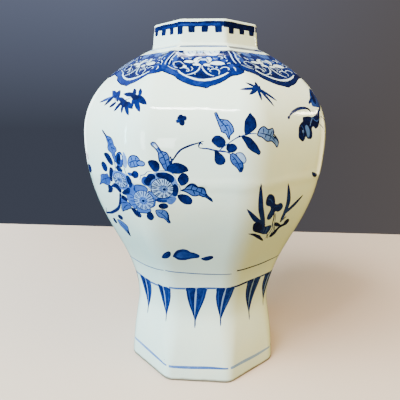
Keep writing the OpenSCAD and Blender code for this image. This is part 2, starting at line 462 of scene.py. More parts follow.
def fired_section(wall, node):
    """The finished section as an object that stands for its CAD node, shaded by its true form."""
    bmesh.ops.recalc_face_normals(wall, faces=wall.faces)
    skin_layer = wall.faces.layers.int["skin"]
    cobalt = wall.loops.layers.float["cobalt"]
    for face in wall.faces:
        if not face[skin_layer]:
            for loop in face.loops:
                loop[cobalt] = 0
    mesh = bpy.data.meshes.new(node + "_section")
    wall.to_mesh(mesh)
    normal_layer = wall.verts.layers.float_vector["form_normal"]
    loop_normals = []
    for face in wall.faces:
        for loop in face.loops:
            loop_normals.append(tuple(loop.vert[normal_layer]) if face[skin_layer] else (0, 0, 0))
    mesh.normals_split_custom_set(loop_normals)
    wall.free()
    mesh.materials.append(glaze)
    piece = bpy.data.objects.new(node + "_section", mesh)
    bpy.context.scene.collection.objects.link(piece)
    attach(piece, "root")
    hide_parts(node)


# The foot's painting: the line round the waist, the leaves that hang from it and the line near the ground
LEAF_FACE_RUN = 72.6
LEAF_LENGTH = 45
waist_line = [
    (-1.5, 120.4), (-1.0, 116.6), (-0.75, 117.8), (-0.5, 121.6), (0, 123.0), (0.5, 124.4), (1.0, 126.0),
    (1.5, 127.0), (2.5, 124.6), (3.5, 122.6), (4.5, 123.4), (5.5, 121.8), (6.5, 120.4)
]
foot_line = [
    (-1.5, 22.6), (-1.0, 21.6), (-0.5, 18.8), (0.5, 19.1), (1.5, 18.6), (3.5, 19.4), (5.5, 19.6), (6.5, 22.6)
]
leaf_sides = [
    -1.145, -0.613, -0.04, 0.427, 1.013, 1.42, 2.0, 2.46, 3.02, 3.47, 3.97, 4.45, 5.02, 5.46, 5.99, 6.42
]
# Width and length of a leaf as shares, and how far its tip leans, for each of six leaves in turn
leaf_forms = [
    (1.0, 0.93, -1.0), (0.9, 0.88, 0.5), (1.05, 1.0, -2.4),
    (0.93, 0.96, -4.3), (1.0, 1.06, -1.2), (0.9, 0.9, -2.0)
]


def line_height(line, side):
    """The height of a line round the vase; its sides run from -1.5 to 6.5."""
    side = (side + 1.5) % SIDES - 1.5
    return np.interp(side, [p[0] for p in line], [p[1] for p in line])


def side_lines(line, width, tones, gap):
    """A brush line on each side face, along a line round the vase; the brush is lifted at the corners."""
    face_run = float(2 * half_run(line[0][1]))
    for face in range(SIDES):
        places = np.linspace(face - 0.5 + gap, face + 0.5 - gap, 9)
        shakes = 0.35 * np.sin(places * 4.1) + 0.2 * np.sin(places * 9.7)
        points = [(s * face_run, line_height(line, s) + shake) for s, shake in zip(places, shakes)]
        stroke_width = width * (1 + 0.12 * math.sin(face * 2.3))
        brush(on_ring(face_run), points, stroke_width, tones[face % len(tones)], ends=(0.8, 0.5))


def hanging_leaf(side, wide, drop, slant):
    """A pointed leaf that hangs from the waist line, in two dark halves beside a pale rib."""
    top = line_height(waist_line, side)

    def hung(points):
        points = np.asarray(points, float)
        fall = np.clip(-points[:, 1] / LEAF_LENGTH, 0, 1)
        run = side + (points[:, 0] * wide + slant * fall) / LEAF_FACE_RUN
        return np.stack([run * FACE_RUN, top + points[:, 1] * drop], -1)

    wash(hung, [
        (-11.3, 0.6), (11.2, 0.6), (11.4, -5), (10.3, -14), (7.6, -24), (4.6, -33), (1.9, -42),
        (0.3, -49), (-1.2, -42), (-4.6, -33), (-8.0, -24), (-10.4, -14), (-11.3, -5)
    ], (0.24, 0.42))
    wash(hung, [
        (-11.2, 0.4), (-1.2, 0.4), (-1.5, -8), (-1.7, -17), (-1.6, -27), (-0.9, -36), (-0.2, -43),
        (0.2, -48), (-1.1, -42), (-4.5, -33), (-7.9, -24), (-10.3, -14), (-11.2, -5)
    ], (0.81, 0.93))
    wash(hung, [
        (0.9, 0.4), (11.0, 0.4), (11.3, -5), (10.2, -14), (7.5, -24), (4.4, -33), (1.7, -42),
        (0.2, -48), (0.0, -43), (-0.3, -36), (0.1, -27), (0.4, -17), (0.7, -8)
    ], (0.76, 0.90))
    brush(hung, [(-8.4, -3), (-7.4, -13), (-5.6, -23), (-3, -33)], 1.6, (0.66, 0.74), ends=(0.6, 0.3))
    brush(hung, [(8.4, -3), (7.4, -13), (5.2, -23), (2.8, -32)], 1.6, (0.64, 0.72), ends=(0.6, 0.3))
    brush(hung, [(0.2, -44), (0.3, -50), (0.1, -54)], 1.9, (0.93, 0.7), ends=(1, 0.2))


side_lines(waist_line, 3.0, [(0.46, 0.62), (0.86, 0.70), (0.50, 0.58), (0.44, 0.50)], gap=0.012)
for k, side in enumerate(leaf_sides):
    hanging_leaf(side, *leaf_forms[k % len(leaf_forms)])
side_lines(foot_line, 3.8, [(0.40, 0.52), (0.30, 0.22), (0.34, 0.28), (0.30, 0.46)], gap=0.02)


# The glaze: clear and faintly blue over white porcelain and cobalt, with a brown band near the ground
# that is partly burnt clay and partly painted shade where the foot meets the table
SEAM_HEIGHT = 251
SEAM_REACH = 11
SEAM_SWAY = 4
BARE_EDGE = (0.8, 1.2)
# Bottom and top of the brown band, in millimetres: partly burnt clay, partly painted contact shade
BURNT_AND_SHADED_EDGE = (2.2, 5.0)
EDGE_WANDER = 0.6
LEAST_INK = 0.02
GLAZE_ROUGHNESS = (0.05, 0.10)
CLAY_ROUGHNESS = 0.85


def new_finish(name):
    """A new material: itself, its tree, its shader, and the place on the object that patterns read."""
    material = bpy.data.materials.new(name)
    material.use_nodes = True
    tree = material.node_tree
    place = tree.nodes.new("ShaderNodeTexCoord").outputs["Object"]
    return material, tree, tree.nodes["Principled BSDF"], place


def srgb(red, green, blue):
    """A colour read in 0 to 255, as Blender's linear values."""
    def linear(c):
        c /= 255
        return c / 12.92 if c <= 0.04045 else ((c + 0.055) / 1.055) ** 2.4
    return (linear(red), linear(green), linear(blue), 1)


def set_or_link(tree, socket, value):
    """Feeds a socket from another one, or sets it to a constant."""
    if isinstance(value, bpy.types.NodeSocket):
        tree.links.new(value, socket)
    else:
        socket.default_value = value


def colour_steps(tree, factor, steps):
    """A colour that changes through steps of (place, colour) as the factor goes from 0 to 1."""
    ramp = tree.nodes.new("ShaderNodeValToRGB")
    elements = ramp.color_ramp.elements
    while len(elements) < len(steps):
        elements.new(0.5)
    for element, (place, colour) in zip(elements, steps):
        element.position = place
        element.color = colour
    tree.links.new(factor, ramp.inputs["Fac"])
    return ramp.outputs["Color"]


def mixed(tree, factor, first, second):
    """One colour over another, by a factor."""
    mix = tree.nodes.new("ShaderNodeMix")
    mix.data_type = "RGBA"
    for number, value in ((0, factor), (6, first), (7, second)):
        set_or_link(tree, mix.inputs[number], value)
    return mix.outputs[2]


def worked(tree, operation, first, second=0.0):
    """The result of one sum on two values."""
    math_node = tree.nodes.new("ShaderNodeMath")
    math_node.operation = operation
    set_or_link(tree, math_node.inputs[0], first)
    set_or_link(tree, math_node.inputs[1], second)
    return math_node.outputs[0]


def cloud(tree, place, scale, detail, roughness=0.5, distortion=0.0):
    """A soft random pattern."""
    noise = tree.nodes.new("ShaderNodeTexNoise")
    noise.inputs["Scale"].default_value = scale
    noise.inputs["Detail"].default_value = detail
    noise.inputs["Roughness"].default_value = roughness
    noise.inputs["Distortion"].default_value = distortion
    tree.links.new(place, noise.inputs["Vector"])
    return noise.outputs["Fac"]


def ranged(tree, value, low, high, to_low, to_high, ease="LINEAR"):
    """A value spread from one range to another, and held at its ends."""
    spread = tree.nodes.new("ShaderNodeMapRange")
    spread.interpolation_type = ease
    for name, number in (("From Min", low), ("From Max", high), ("To Min", to_low), ("To Max", to_high)):
        spread.inputs[name].default_value = number
    tree.links.new(value, spread.inputs["Value"])
    return spread.outputs["Result"]


def height_on(tree, place):
    """The height above the ground, in metres."""
    parts = tree.nodes.new("ShaderNodeSeparateXYZ")
    tree.links.new(place, parts.inputs[0])
    return parts.outputs["Z"]


def add_relief(tree, shader, relief, strength, depth):
    """Gives a finish its fine unevenness; the depth is in millimetres."""
    bump = tree.nodes.new("ShaderNodeBump")
    bump.inputs["Strength"].default_value = strength
    bump.inputs["Distance"].default_value = depth * MM
    tree.links.new(relief, bump.inputs["Height"])
    tree.links.new(bump.outputs[0], shader.inputs["Normal"])


def cobalt_under_glaze(tree, place, body_tint):
    """The painter's cobalt, which drifts and streaks within a stroke, over the bare body."""
    attribute = tree.nodes.new("ShaderNodeAttribute")
    attribute.attribute_name = "cobalt"
    ink = attribute.outputs["Fac"]
    streaks = cloud(tree, place, scale=420, detail=3, roughness=0.6)
    drifts = cloud(tree, place, scale=130, detail=3, roughness=0.55, distortion=0.6)
    load = worked(tree, "ADD", worked(tree, "MULTIPLY", streaks, 0.5), worked(tree, "MULTIPLY", drifts, 0.5))
    load = ranged(tree, load, 0.3, 0.7, -0.13, 0.13)
    tone = worked(tree, "ADD", ink, worked(tree, "MULTIPLY", load, ink))
    cobalt = colour_steps(tree, tone, [
        (0.0, srgb(220, 234, 230)), (0.22, srgb(143, 170, 210)), (0.45, srgb(70, 104, 172)),
        (0.66, srgb(32, 60, 130)), (0.84, srgb(8, 26, 90)), (1.0, srgb(2, 8, 46))
    ])
    return mixed(tree, worked(tree, "GREATER_THAN", ink, LEAST_INK), body_tint, cobalt)


def iron_specks(tree, place, surface):
    """A few small brown specks of iron in the body, over the given surface."""
    cells = tree.nodes.new("ShaderNodeTexVoronoi")
    cells.inputs["Scale"].default_value = 48
    tree.links.new(place, cells.inputs["Vector"])
    chance = tree.nodes.new("ShaderNodeSeparateColor")
    tree.links.new(cells.outputs["Color"], chance.inputs[0])
    speck_size = ranged(tree, chance.outputs[1], 0, 1, 0.010, 0.030)
    speck = worked(tree, "LESS_THAN", cells.outputs["Distance"], speck_size)
    speck = worked(tree, "MULTIPLY", speck, worked(tree, "GREATER_THAN", chance.outputs[0], 0.72))
    return mixed(tree, worked(tree, "MULTIPLY", speck, 0.75), surface, srgb(92, 74, 58))


def make_glaze():
    """Clear, faintly blue glaze over white porcelain and over the painter's cobalt."""
    material, tree, shader, place = new_finish("glazed_porcelain")
    body_tint = colour_steps(tree, cloud(tree, place, scale=9, detail=3), [
        (0.30, srgb(217, 232, 222)), (0.50, srgb(223, 235, 221)), (0.72, srgb(229, 235, 216))
    ])
    pooled = ranged(tree, cloud(tree, place, scale=46, detail=4, roughness=0.6), 0.35, 0.7, 0, 1)
    body_tint = mixed(tree, worked(tree, "MULTIPLY", pooled, 0.35), body_tint, srgb(211, 229, 223))
    surface = iron_specks(tree, place, cobalt_under_glaze(tree, place, body_tint))

    height = height_on(tree, place)
    wander = cloud(tree, place, scale=70, detail=3)
    edge = worked(tree, "ADD", height, ranged(tree, wander, 0.3, 0.7, -EDGE_WANDER * MM, EDGE_WANDER * MM))
    bare = ranged(tree, edge, BARE_EDGE[0] * MM, BARE_EDGE[1] * MM, 1, 0)
    # The brown band above the bare edge: partly clay burnt brown, partly painted shade where the foot meets
    # the table
    burnt_and_shade = ranged(tree, edge, BURNT_AND_SHADED_EDGE[0] * MM, BURNT_AND_SHADED_EDGE[1] * MM, 1, 0)
    surface = mixed(tree, worked(tree, "MULTIPLY", burnt_and_shade, 0.9), surface, srgb(92, 70, 50))
    clay = colour_steps(tree, cloud(tree, place, scale=240, detail=4, roughness=0.7), [
        (0.3, srgb(196, 172, 138)), (0.7, srgb(221, 203, 172))
    ])
    tree.links.new(mixed(tree, bare, surface, clay), shader.inputs["Base Color"])

    roughness = tree.nodes.new("ShaderNodeMix")
    tree.links.new(bare, roughness.inputs[0])
    wear = ranged(tree, cloud(tree, place, scale=60, detail=3), 0.3, 0.7, *GLAZE_ROUGHNESS)
    tree.links.new(wear, roughness.inputs[2])
    roughness.inputs[3].default_value = CLAY_ROUGHNESS
    tree.links.new(roughness.outputs[0], shader.inputs["Roughness"])
    shader.inputs["IOR"].default_value = 1.52
    shader.inputs["Specular IOR Level"].default_value = 0.32

    ripple = cloud(tree, place, scale=30, detail=2)
    orange_peel = worked(tree, "MULTIPLY", cloud(tree, place, scale=210, detail=2), 0.07)
    sway = ranged(tree, cloud(tree, place, scale=12, detail=2), 0.3, 0.7, -SEAM_SWAY * MM, SEAM_SWAY * MM)
    above_seam = worked(tree, "SUBTRACT", worked(tree, "ADD", height, sway), SEAM_HEIGHT * MM)
    seam = ranged(tree, worked(tree, "ABSOLUTE", above_seam), 0, SEAM_REACH * MM, 1, 0, "SMOOTHERSTEP")
    relief = worked(tree, "ADD", ripple, orange_peel)
    relief = worked(tree, "ADD", relief, worked(tree, "MULTIPLY", seam, 0.9))
    add_relief(tree, shader, relief, 0.35, 1.2)
    return material


glaze = make_glaze()

# The foot is built: painted skin, joint above, inner face, and a rest ring with both edges bevelled
BEVEL_TURN = 0.44
foot_wall, rest_rim, waist_rim = painted_skin(rows_between(FOOT_BEVEL, WAIST_JOINT))
waist_rim = meet_slip(foot_wall, waist_rim, WAIST_JOINT, -1)
inner_rim = line_below(foot_wall, waist_rim, WAIST_JOINT, FOOT_BEVEL)
inner_half, inner_corner, _ = inner_section(0)
for inset, height in ((BEVEL_TURN, BEVEL_TURN), (FOOT_BEVEL, 0)):
    inner_rim = grow_ring(foot_wall, inner_rim, inner_half + inset, inner_corner + inset, height)
for inset, height in ((BEVEL_TURN, BEVEL_TURN), (FOOT_BEVEL, 0)):
    rest_rim = grow_ring(foot_wall, rest_rim, FOOT_HALF - inset, FOOT_CORNER, height)
join_rims(foot_wall, inner_rim, rest_rim)
fired_section(foot_wall, "foot")


# The base plate and its slip: a slab cut to the foot, set a little above the ground and luted in with
# a fillet of thinned clay. The potter left both bare underneath, and glazed the floor inside.
GLAZE_EDGE = 12.2
GLAZE_EDGE_RUN = 0.6


def make_bare_clay():
    """Bare fired clay with its turning rings, glazed above a height."""
    material, tree, shader, place = new_finish("bare_clay")
    clay = colour_steps(tree, cloud(tree, place, scale=60, detail=5, roughness=0.65), [
        (0.25, srgb(190, 160, 122)), (0.5, srgb(212, 188, 152)), (0.75, srgb(224, 208, 178))
    ])
    grit = ranged(tree, cloud(tree, place, scale=900, detail=2, roughness=0.7), 0.55, 0.75, 0, 0.4)
    clay = mixed(tree, grit, clay, srgb(146, 112, 78))
    rings = tree.nodes.new("ShaderNodeTexWave")
    rings.wave_type = "RINGS"
    rings.rings_direction = "Z"
    rings.inputs["Scale"].default_value = 70
    rings.inputs["Distortion"].default_value = 2.5
    rings.inputs["Detail"].default_value = 3
    tree.links.new(place, rings.inputs["Vector"])
    clay = mixed(tree, worked(tree, "MULTIPLY", rings.outputs["Fac"], 0.18), clay, srgb(176, 146, 108))
    glazed = ranged(tree, height_on(tree, place), GLAZE_EDGE * MM, (GLAZE_EDGE + GLAZE_EDGE_RUN) * MM, 0, 1)
    tree.links.new(mixed(tree, glazed, clay, srgb(222, 228, 222)), shader.inputs["Base Color"])
    tree.links.new(ranged(tree, glazed, 0, 1, 0.86, 0.09), shader.inputs["Roughness"])
    relief = worked(tree, "ADD", rings.outputs["Fac"], cloud(tree, place, scale=700, detail=3, roughness=0.7))
    add_relief(tree, shader, relief, 0.5, 0.6)
    return material


def dress(node, material):
    """Gives a solid that is kept as it was cut a finish of its own."""
    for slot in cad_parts[node].material_slots:
        slot.material = material


bare_clay = make_bare_clay()
dress("base_plate", bare_clay)
dress("base_slip", bare_clay)


# The waist slip: a thin layer of slip squeezed out between the foot and the lower body, wiped off
# flush outside and left as a bead inside, where the glaze has run over it.
def make_slip():
    """Slip that has dried and been fired under a thin, uneven run of glaze."""
    material, tree, shader, place = new_finish("dried_slip")
    tint = colour_steps(tree, cloud(tree, place, scale=90, detail=4, roughness=0.6), [
        (0.3, srgb(205, 208, 198)), (0.6, srgb(220, 222, 212)), (0.8, srgb(212, 202, 182))
    ])
    tree.links.new(tint, shader.inputs["Base Color"])
    wear = ranged(tree, cloud(tree, place, scale=150, detail=3), 0.3, 0.7, 0.12, 0.3)
    tree.links.new(wear, shader.inputs["Roughness"])
    add_relief(tree, shader, cloud(tree, place, scale=160, detail=3, roughness=0.6, distortion=0.5), 0.5, 0.8)
    return material


dried_slip = make_slip()
dress("waist_slip", dried_slip)


# The lower body: pressed in its own mould, flaring from the waist to the seam at the belly. It carries
# the second waist line, a strip of rocks, and the foot of each spray. A spray runs on over the seam,
# because the painter worked when the sections were already joined.
DISC_POINTS = 20
WAIST_STROKE_CLIMB = 146
# Where a stroke starts, its climbs there and half way, where it ends, its climb there, width and tone
waist_strokes = [
    (-0.48, 147.8, 145.5, 0.47, 146.2, 1.5, (0.6, 0.72)), (0.54, 150.4, 148.7, 1.45, 151.6, 2.0, (0.92, 0.7)),
    (1.54, 151.0, 148.2, 2.45, 147.6, 1.4, (0.6, 0.5)), (2.56, 146.4, 146.0, 3.44, 147.2, 1.4, (0.62, 0.5)),
    (3.54, 146.0, 145.0, 4.46, 146.8, 1.5, (0.7, 0.5)), (4.58, 145.4, 146.2, 5.46, 147.6, 1.4, (0.6, 0.5)),
    (5.55, 147.0, 145.4, 6.44, 146.0, 1.4, (0.6, 0.44)), (6.56, 143.8, 142.2, 7.49, 147.4, 1.5, (0.42, 0.76))
]


def ring_strokes(up, strokes, ends):
    """One brush line on each side face, near the given climb, each with its own width and tone."""
    run = float(2 * half_run(up))
    for start, low, middle, end, high, width, tone in strokes:
        points = [(start * run, low), ((start + end) / 2 * run, middle), (end * run, high)]
        brush(on_ring(run), points, width, tone, ends=ends)


ring_strokes(WAIST_STROKE_CLIMB, waist_strokes, (1.15, 0.6))


def on_side(face, start=0, hand=1):
    """Takes millimetres along and up a side face, as read from the photograph, to the unrolled wall.

    Start is the face that stands for the front one, and a hand of -1 mirrors the drawing."""
    def placed(points):
        points = np.asarray(points, float)
        side = start + hand * (face + points[:, 0] / (2 * half_run(points[:, 1])))
        return np.stack([side * FACE_RUN, points[:, 1]], -1)
    return placed


def blade(placed, root, tip, width, tone, bend=0.0):
    """A pointed leaf laid with one press of the brush, from its root to its tip."""
    root, tip = np.array(root, float), np.array(tip, float)
    middle = (root + tip) / 2 + bend * np.array([root[1] - tip[1], tip[0] - root[0]])
    brush(placed, [root, middle, tip], width, tone, ends=(0.45, 0.02))


def dark_leaf(placed, outline):
    """A leaf filled with strong cobalt inside a darker contour."""
    wash(placed, outline, (0.97, 0.88))
    brush(placed, outline, 0.9, 1.0, closed=True)


def pale_leaf(placed, outline, tone, ribs=(), contour=0.9, width=1.15):
    """A leaf with a thin wash inside a drawn contour, and drawn ribs."""
    wash(placed, outline, tone)
    for rib in ribs:
        brush(placed, rib, width * 0.85, contour)
    brush(placed, outline, width, contour, closed=True)


def flower_head(placed, centre, across, up, rays, heart, body, ray_tone):
    """A many-rayed flower: a pale disc with fine rays drawn in two rings round a dark eye."""
    def toward(angle, share):
        return (heart[0] + (centre[0] + across * math.cos(angle) - heart[0]) * share,
                heart[1] + (centre[1] + up * math.sin(angle) - heart[1]) * share)

    angles = [2 * math.pi * k / DISC_POINTS for k in range(DISC_POINTS)]
    wash(placed, [toward(a, 1) for a in angles], body)
    wash(placed, [toward(a, 0.42) for a in angles[::2]], body + 0.14)
    for k in range(rays):
        a = 2 * math.pi * (k + 0.3 * math.sin(3.1 * k)) / rays
        ray = [toward(a, 0.50 + 0.09 * math.sin(2.3 * k)), toward(a, 0.95 + 0.05 * math.sin(1.7 * k + 1))]
        brush(placed, ray, 1.05, (ray_tone - 0.06, ray_tone + 0.12), ends=(0.4, 1))
        if k % 2:
            short_ray = [toward(a + 0.12, 0.2), toward(a + 0.12, 0.44)]
            brush(placed, short_ray, 0.9, ray_tone - 0.1, ends=(0.9, 0.4))
    brush(placed, [toward(a, 1) for a in angles], 0.9, ray_tone, closed=True)
    wash(placed, [(heart[0] + 1.9 * math.cos(a), heart[1] + 1.6 * math.sin(a)) for a in angles[::3]], 0.95)


def rocks(on):
    """Three flat rocks laid with a loaded brush, with paler tops."""
    wash(on, [
        (-41, 168), (-40, 172), (-37, 176.5), (-32, 180), (-29.6, 178), (-30, 173), (-33, 169), (-37, 167.3)
    ], (0.80, 0.88))
    wash(on, [
        (-28, 172), (-25.4, 178), (-22, 182), (-15, 184), (-11, 182.6), (-8, 180), (-3, 178.4), (2, 175),
        (1, 171), (-5, 169.5), (-10, 168), (-15, 166.4), (-22, 166.8), (-26, 170)
    ], (0.88, 0.80))
    wash(on, [
        (-24, 172), (-22.4, 176.6), (-18, 179.4), (-12, 179), (-6, 176.8), (-2, 174.4), (-6, 172),
        (-13, 170.6), (-20, 170)
    ], (0.66, 0.76))
    wash(on, [
        (3, 170), (7, 172.5), (12, 174.5), (16, 174.7), (17, 171.8), (13, 168), (9, 166.5), (5, 167.6)
    ], (0.84, 0.92))
    brush(on, [(-38, 171), (-35, 175), (-32, 176.6)], 1.0, (0.74, 0.7))


def front_flowers(on):
    """The part of the flowering branch on the front of the belly: flowers, dark leaves and pale leaves."""
    brush(on, [
        (-23.5, 286), (-22, 288), (-18, 294), (-14, 298), (-9, 300.5), (-4, 302.5), (1, 304), (5, 305.5),
        (7.5, 306)
    ], 2.1, 0.93)
    brush(on, [(-24.8, 282), (-24, 285.5), (-22, 289.5)], 2.6, 0.92)
    brush(on, [(-24.6, 291.5), (-24, 289), (-23, 286.5)], 1.6, 0.88)
    brush(on, [(6.5, 303), (4.5, 304.5), (3, 303), (2.8, 300.5), (4, 299.6)], 1.7, 0.9)
    brush(on, [
        (3.4, 299.8), (8, 299.2), (12, 299), (20, 297), (26, 297), (31, 295.5), (34, 292)
    ], 1.7, (0.88, 0.7))
    pale_leaf(on, [
        (-59, 285), (-56, 286.4), (-53, 286), (-50.3, 284.4), (-50.2, 282.4), (-52.5, 281.1), (-56, 281),
        (-58.6, 282.2)
    ], 0.44, contour=0.85)
    pale_leaf(on, [
        (-43.5, 303), (-42, 304.5), (-39, 304), (-36, 300), (-33.5, 296.5), (-30.5, 295.5), (-28, 294.5),
        (-26, 291), (-25.5, 286), (-24.5, 282), (-26, 279), (-28, 277), (-31, 279), (-33, 283),
        (-35.5, 287), (-36, 291), (-36.5, 295), (-39, 298.5), (-42, 301)
    ], (0.38, 0.66), ribs=[
        [(-27.5, 279), (-29.5, 286), (-31.5, 292), (-35, 297), (-40, 302)], [(-30.5, 291), (-35, 289)],
        [(-32.5, 295), (-36, 294)], [(-29.5, 287), (-26, 289)], [(-31, 292), (-28, 294)],
        [(-29, 284), (-33, 283.5)]
    ], width=1.3)
    wash(on, [(-41, 302), (-39.5, 302.6), (-37, 299.5), (-38.2, 298.8), (-40, 300.4)], 0.12)
    dark_leaf(on, [
        (-46.5, 286), (-45, 287), (-41, 287.2), (-37.5, 286), (-35.5, 283), (-35.5, 279), (-38, 276),
        (-41, 276.5), (-44, 280), (-46, 283)
    ])
    dark_leaf(on, [
        (-7.5, 277.5), (-9, 281), (-13, 283.5), (-18, 285), (-22, 284.5), (-26, 282.5), (-28, 279),
        (-27, 276.5), (-22, 274.8), (-16, 274.5), (-12, 276)
    ])
    dark_leaf(on, [
        (-12, 275), (-9, 273.5), (-7, 270), (-8, 266), (-11, 263.5), (-14.5, 262.5), (-16.5, 265.5),
        (-17.8, 268.5), (-15.5, 273)
    ])
    pale_leaf(on, [
        (-15, 257), (-11, 259), (-8, 262.5), (-5, 264.5), (-2, 264.5), (0, 263), (2, 261), (5, 261),
        (8, 260), (9.5, 257), (10, 254.5), (12, 251.5), (15, 249), (16.5, 245.5), (13, 248), (9, 250.5),
        (6, 251), (3, 252.5), (0, 251.5), (-4, 252), (-8, 254.5), (-12, 256.5)
    ], (0.50, 0.68), ribs=[
        [(-13, 257.6), (-6, 258.2), (1, 256.5), (8, 253), (14, 248.5)], [(-5, 258), (-3, 263)],
        [(0, 257), (2, 261)], [(5, 255), (6, 260)], [(-3, 258), (-1, 252.5)], [(3, 256), (4, 252.5)]
    ], contour=0.95, width=1.35)
    brush(on, [(-9, 261), (-4, 263.6), (1, 261), (7, 259.6), (9.3, 256)], 1.6, 0.97)
    brush(on, [(9.5, 254), (12.5, 250.5), (16, 246)], 2.0, 0.95, ends=(1, 0.2))
    dark_leaf(on, [
        (-18.5, 251.5), (-14, 253), (-9, 252), (-5.5, 249.5), (-4, 246), (-5.5, 242.5), (-10, 242.3),
        (-14, 244), (-17, 247.5)
    ])
    pale_leaf(on, [
        (-64, 237.5), (-56, 238), (-50, 237.5), (-46.5, 234), (-49, 230.5), (-56, 229.5), (-64, 230)
    ], 0.52)
    wash(on, [(-46, 255), (-43, 253.5), (-39, 251.8), (-38.5, 249.5), (-41, 249.3), (-45, 251.5)], 0.95)
    dark_leaf(on, [
        (-47.5, 232), (-45.5, 230), (-44, 226), (-46, 222.5), (-48.5, 221.8), (-51.5, 223.5), (-52, 227),
        (-50.5, 230.5)
    ])
    pale_leaf(on, [
        (-41.5, 234), (-38, 235.2), (-33, 235), (-30, 233), (-28.5, 229), (-28.5, 224), (-27, 219.5),
        (-29, 219), (-31, 222), (-34, 225), (-38, 226), (-40.5, 229)
    ], (0.42, 0.62), ribs=[
        [(-40, 233), (-35, 230), (-31.5, 226), (-28.5, 220.5)], [(-36, 231), (-33.5, 234)]
    ], contour=0.86)
    brush(on, [(-30.5, 233), (-28.8, 229), (-29.2, 224), (-27.8, 220)], 1.7, 0.95)
    dark_leaf(on, [
        (-38, 240), (-36, 242), (-32, 242.6), (-29.5, 241.5), (-28.5, 239), (-30.5, 237), (-34, 236.3),
        (-37, 237.6)
    ])
    pale_leaf(on, [
        (-64, 260), (-58, 261.5), (-52, 260.5), (-48.5, 257.5), (-51, 254), (-58, 253), (-64, 254)
    ], 0.55, contour=0.8)
    pale_leaf(on, [
        (-48, 255.5), (-44, 254), (-41.5, 250), (-41, 245), (-42, 240), (-45, 237.5), (-48, 239), (-47, 247)
    ], 0.5, ribs=[[(-47, 250), (-42.5, 248)], [(-46.5, 244), (-42, 243)]], contour=0.8)
    flower_head(on, (-55, 244.5), 12.5, 11, 22, (-54.5, 244), body=0.3, ray_tone=0.82)
    wash(on, [
        (-50, 262), (-49, 268), (-44, 273), (-38, 275.5), (-30, 276), (-23, 273), (-18.5, 267),
        (-17.5, 259), (-19, 251.5), (-24, 247), (-32, 245.5), (-40, 247.5), (-44, 252), (-45, 257)
    ], 0.42)
    wash(on, [(-55.8, 271.6), (-55, 272.6), (-54.2, 271.8), (-54.9, 270.9)], 0.9)
    wash(on, [
        (-41, 246.5), (-36, 249.6), (-30, 250.6), (-25, 250), (-20.5, 249), (-22, 246.5), (-25, 244.5),
        (-30, 243.4), (-36, 243.4), (-39.5, 244.4)
    ], (0.88, 0.7))
    wash(on, [(-29, 247), (-24, 249.6), (-19.5, 249), (-21, 245), (-25, 241.4), (-29, 242.6)], 0.5)
    brush(on, [(-36, 246.5), (-30, 247.4), (-24, 247.2)], 0.8, 0.6)
    brush(on, [(-48, 259), (-45, 256), (-41, 252), (-34, 251.2), (-26, 252), (-23, 255)], 0.9, 0.8)
    flower_head(on, (-33.5, 258.8), 11.3, 10.6, 24, (-31.5, 257.8), body=0.22, ray_tone=0.9)
    wash(on, [
        (-39, 274), (-36, 275.2), (-28, 275.2), (-23, 272.8), (-20.8, 269), (-22, 266), (-25, 265),
        (-28, 267.2), (-32, 269.6), (-37, 270), (-39, 272)
    ], (0.97, 0.9))
    brush(on, [(-41, 276), (-34, 277), (-27, 276.6), (-21.5, 273.6), (-18.8, 270)], 0.9, 0.62)
    wash(on, [
        (-55, 265), (-54, 269), (-51, 271), (-49, 270.6), (-47, 273.5), (-43, 274.2), (-40, 272.4),
        (-39.5, 269), (-42, 268), (-44, 266), (-45, 262), (-48, 260.8), (-52, 261.5)
    ], (0.62, 0.97))
    wash(on, [
        (-52, 265), (-50, 268.6), (-47.5, 270), (-46, 272.6), (-42, 273), (-40.5, 270.5), (-43, 268),
        (-45, 265), (-46.5, 262), (-49.5, 262)
    ], 0.97)
    brush(on, [(-56.5, 267), (-54.5, 271.5), (-50.5, 272.6), (-48, 275.6), (-43, 276.2)], 0.9, 0.72)
    wash(on, [
        (-23.6, 252), (-23, 258), (-22.5, 262), (-21, 264.2), (-18.3, 262.5), (-17, 258), (-18, 253),
        (-20, 250.8), (-22.5, 250.8)
    ], (0.9, 0.94))
    brush(on, [(-20, 266), (-16.8, 263), (-15.6, 258), (-16.6, 252.5)], 0.9, 0.62)


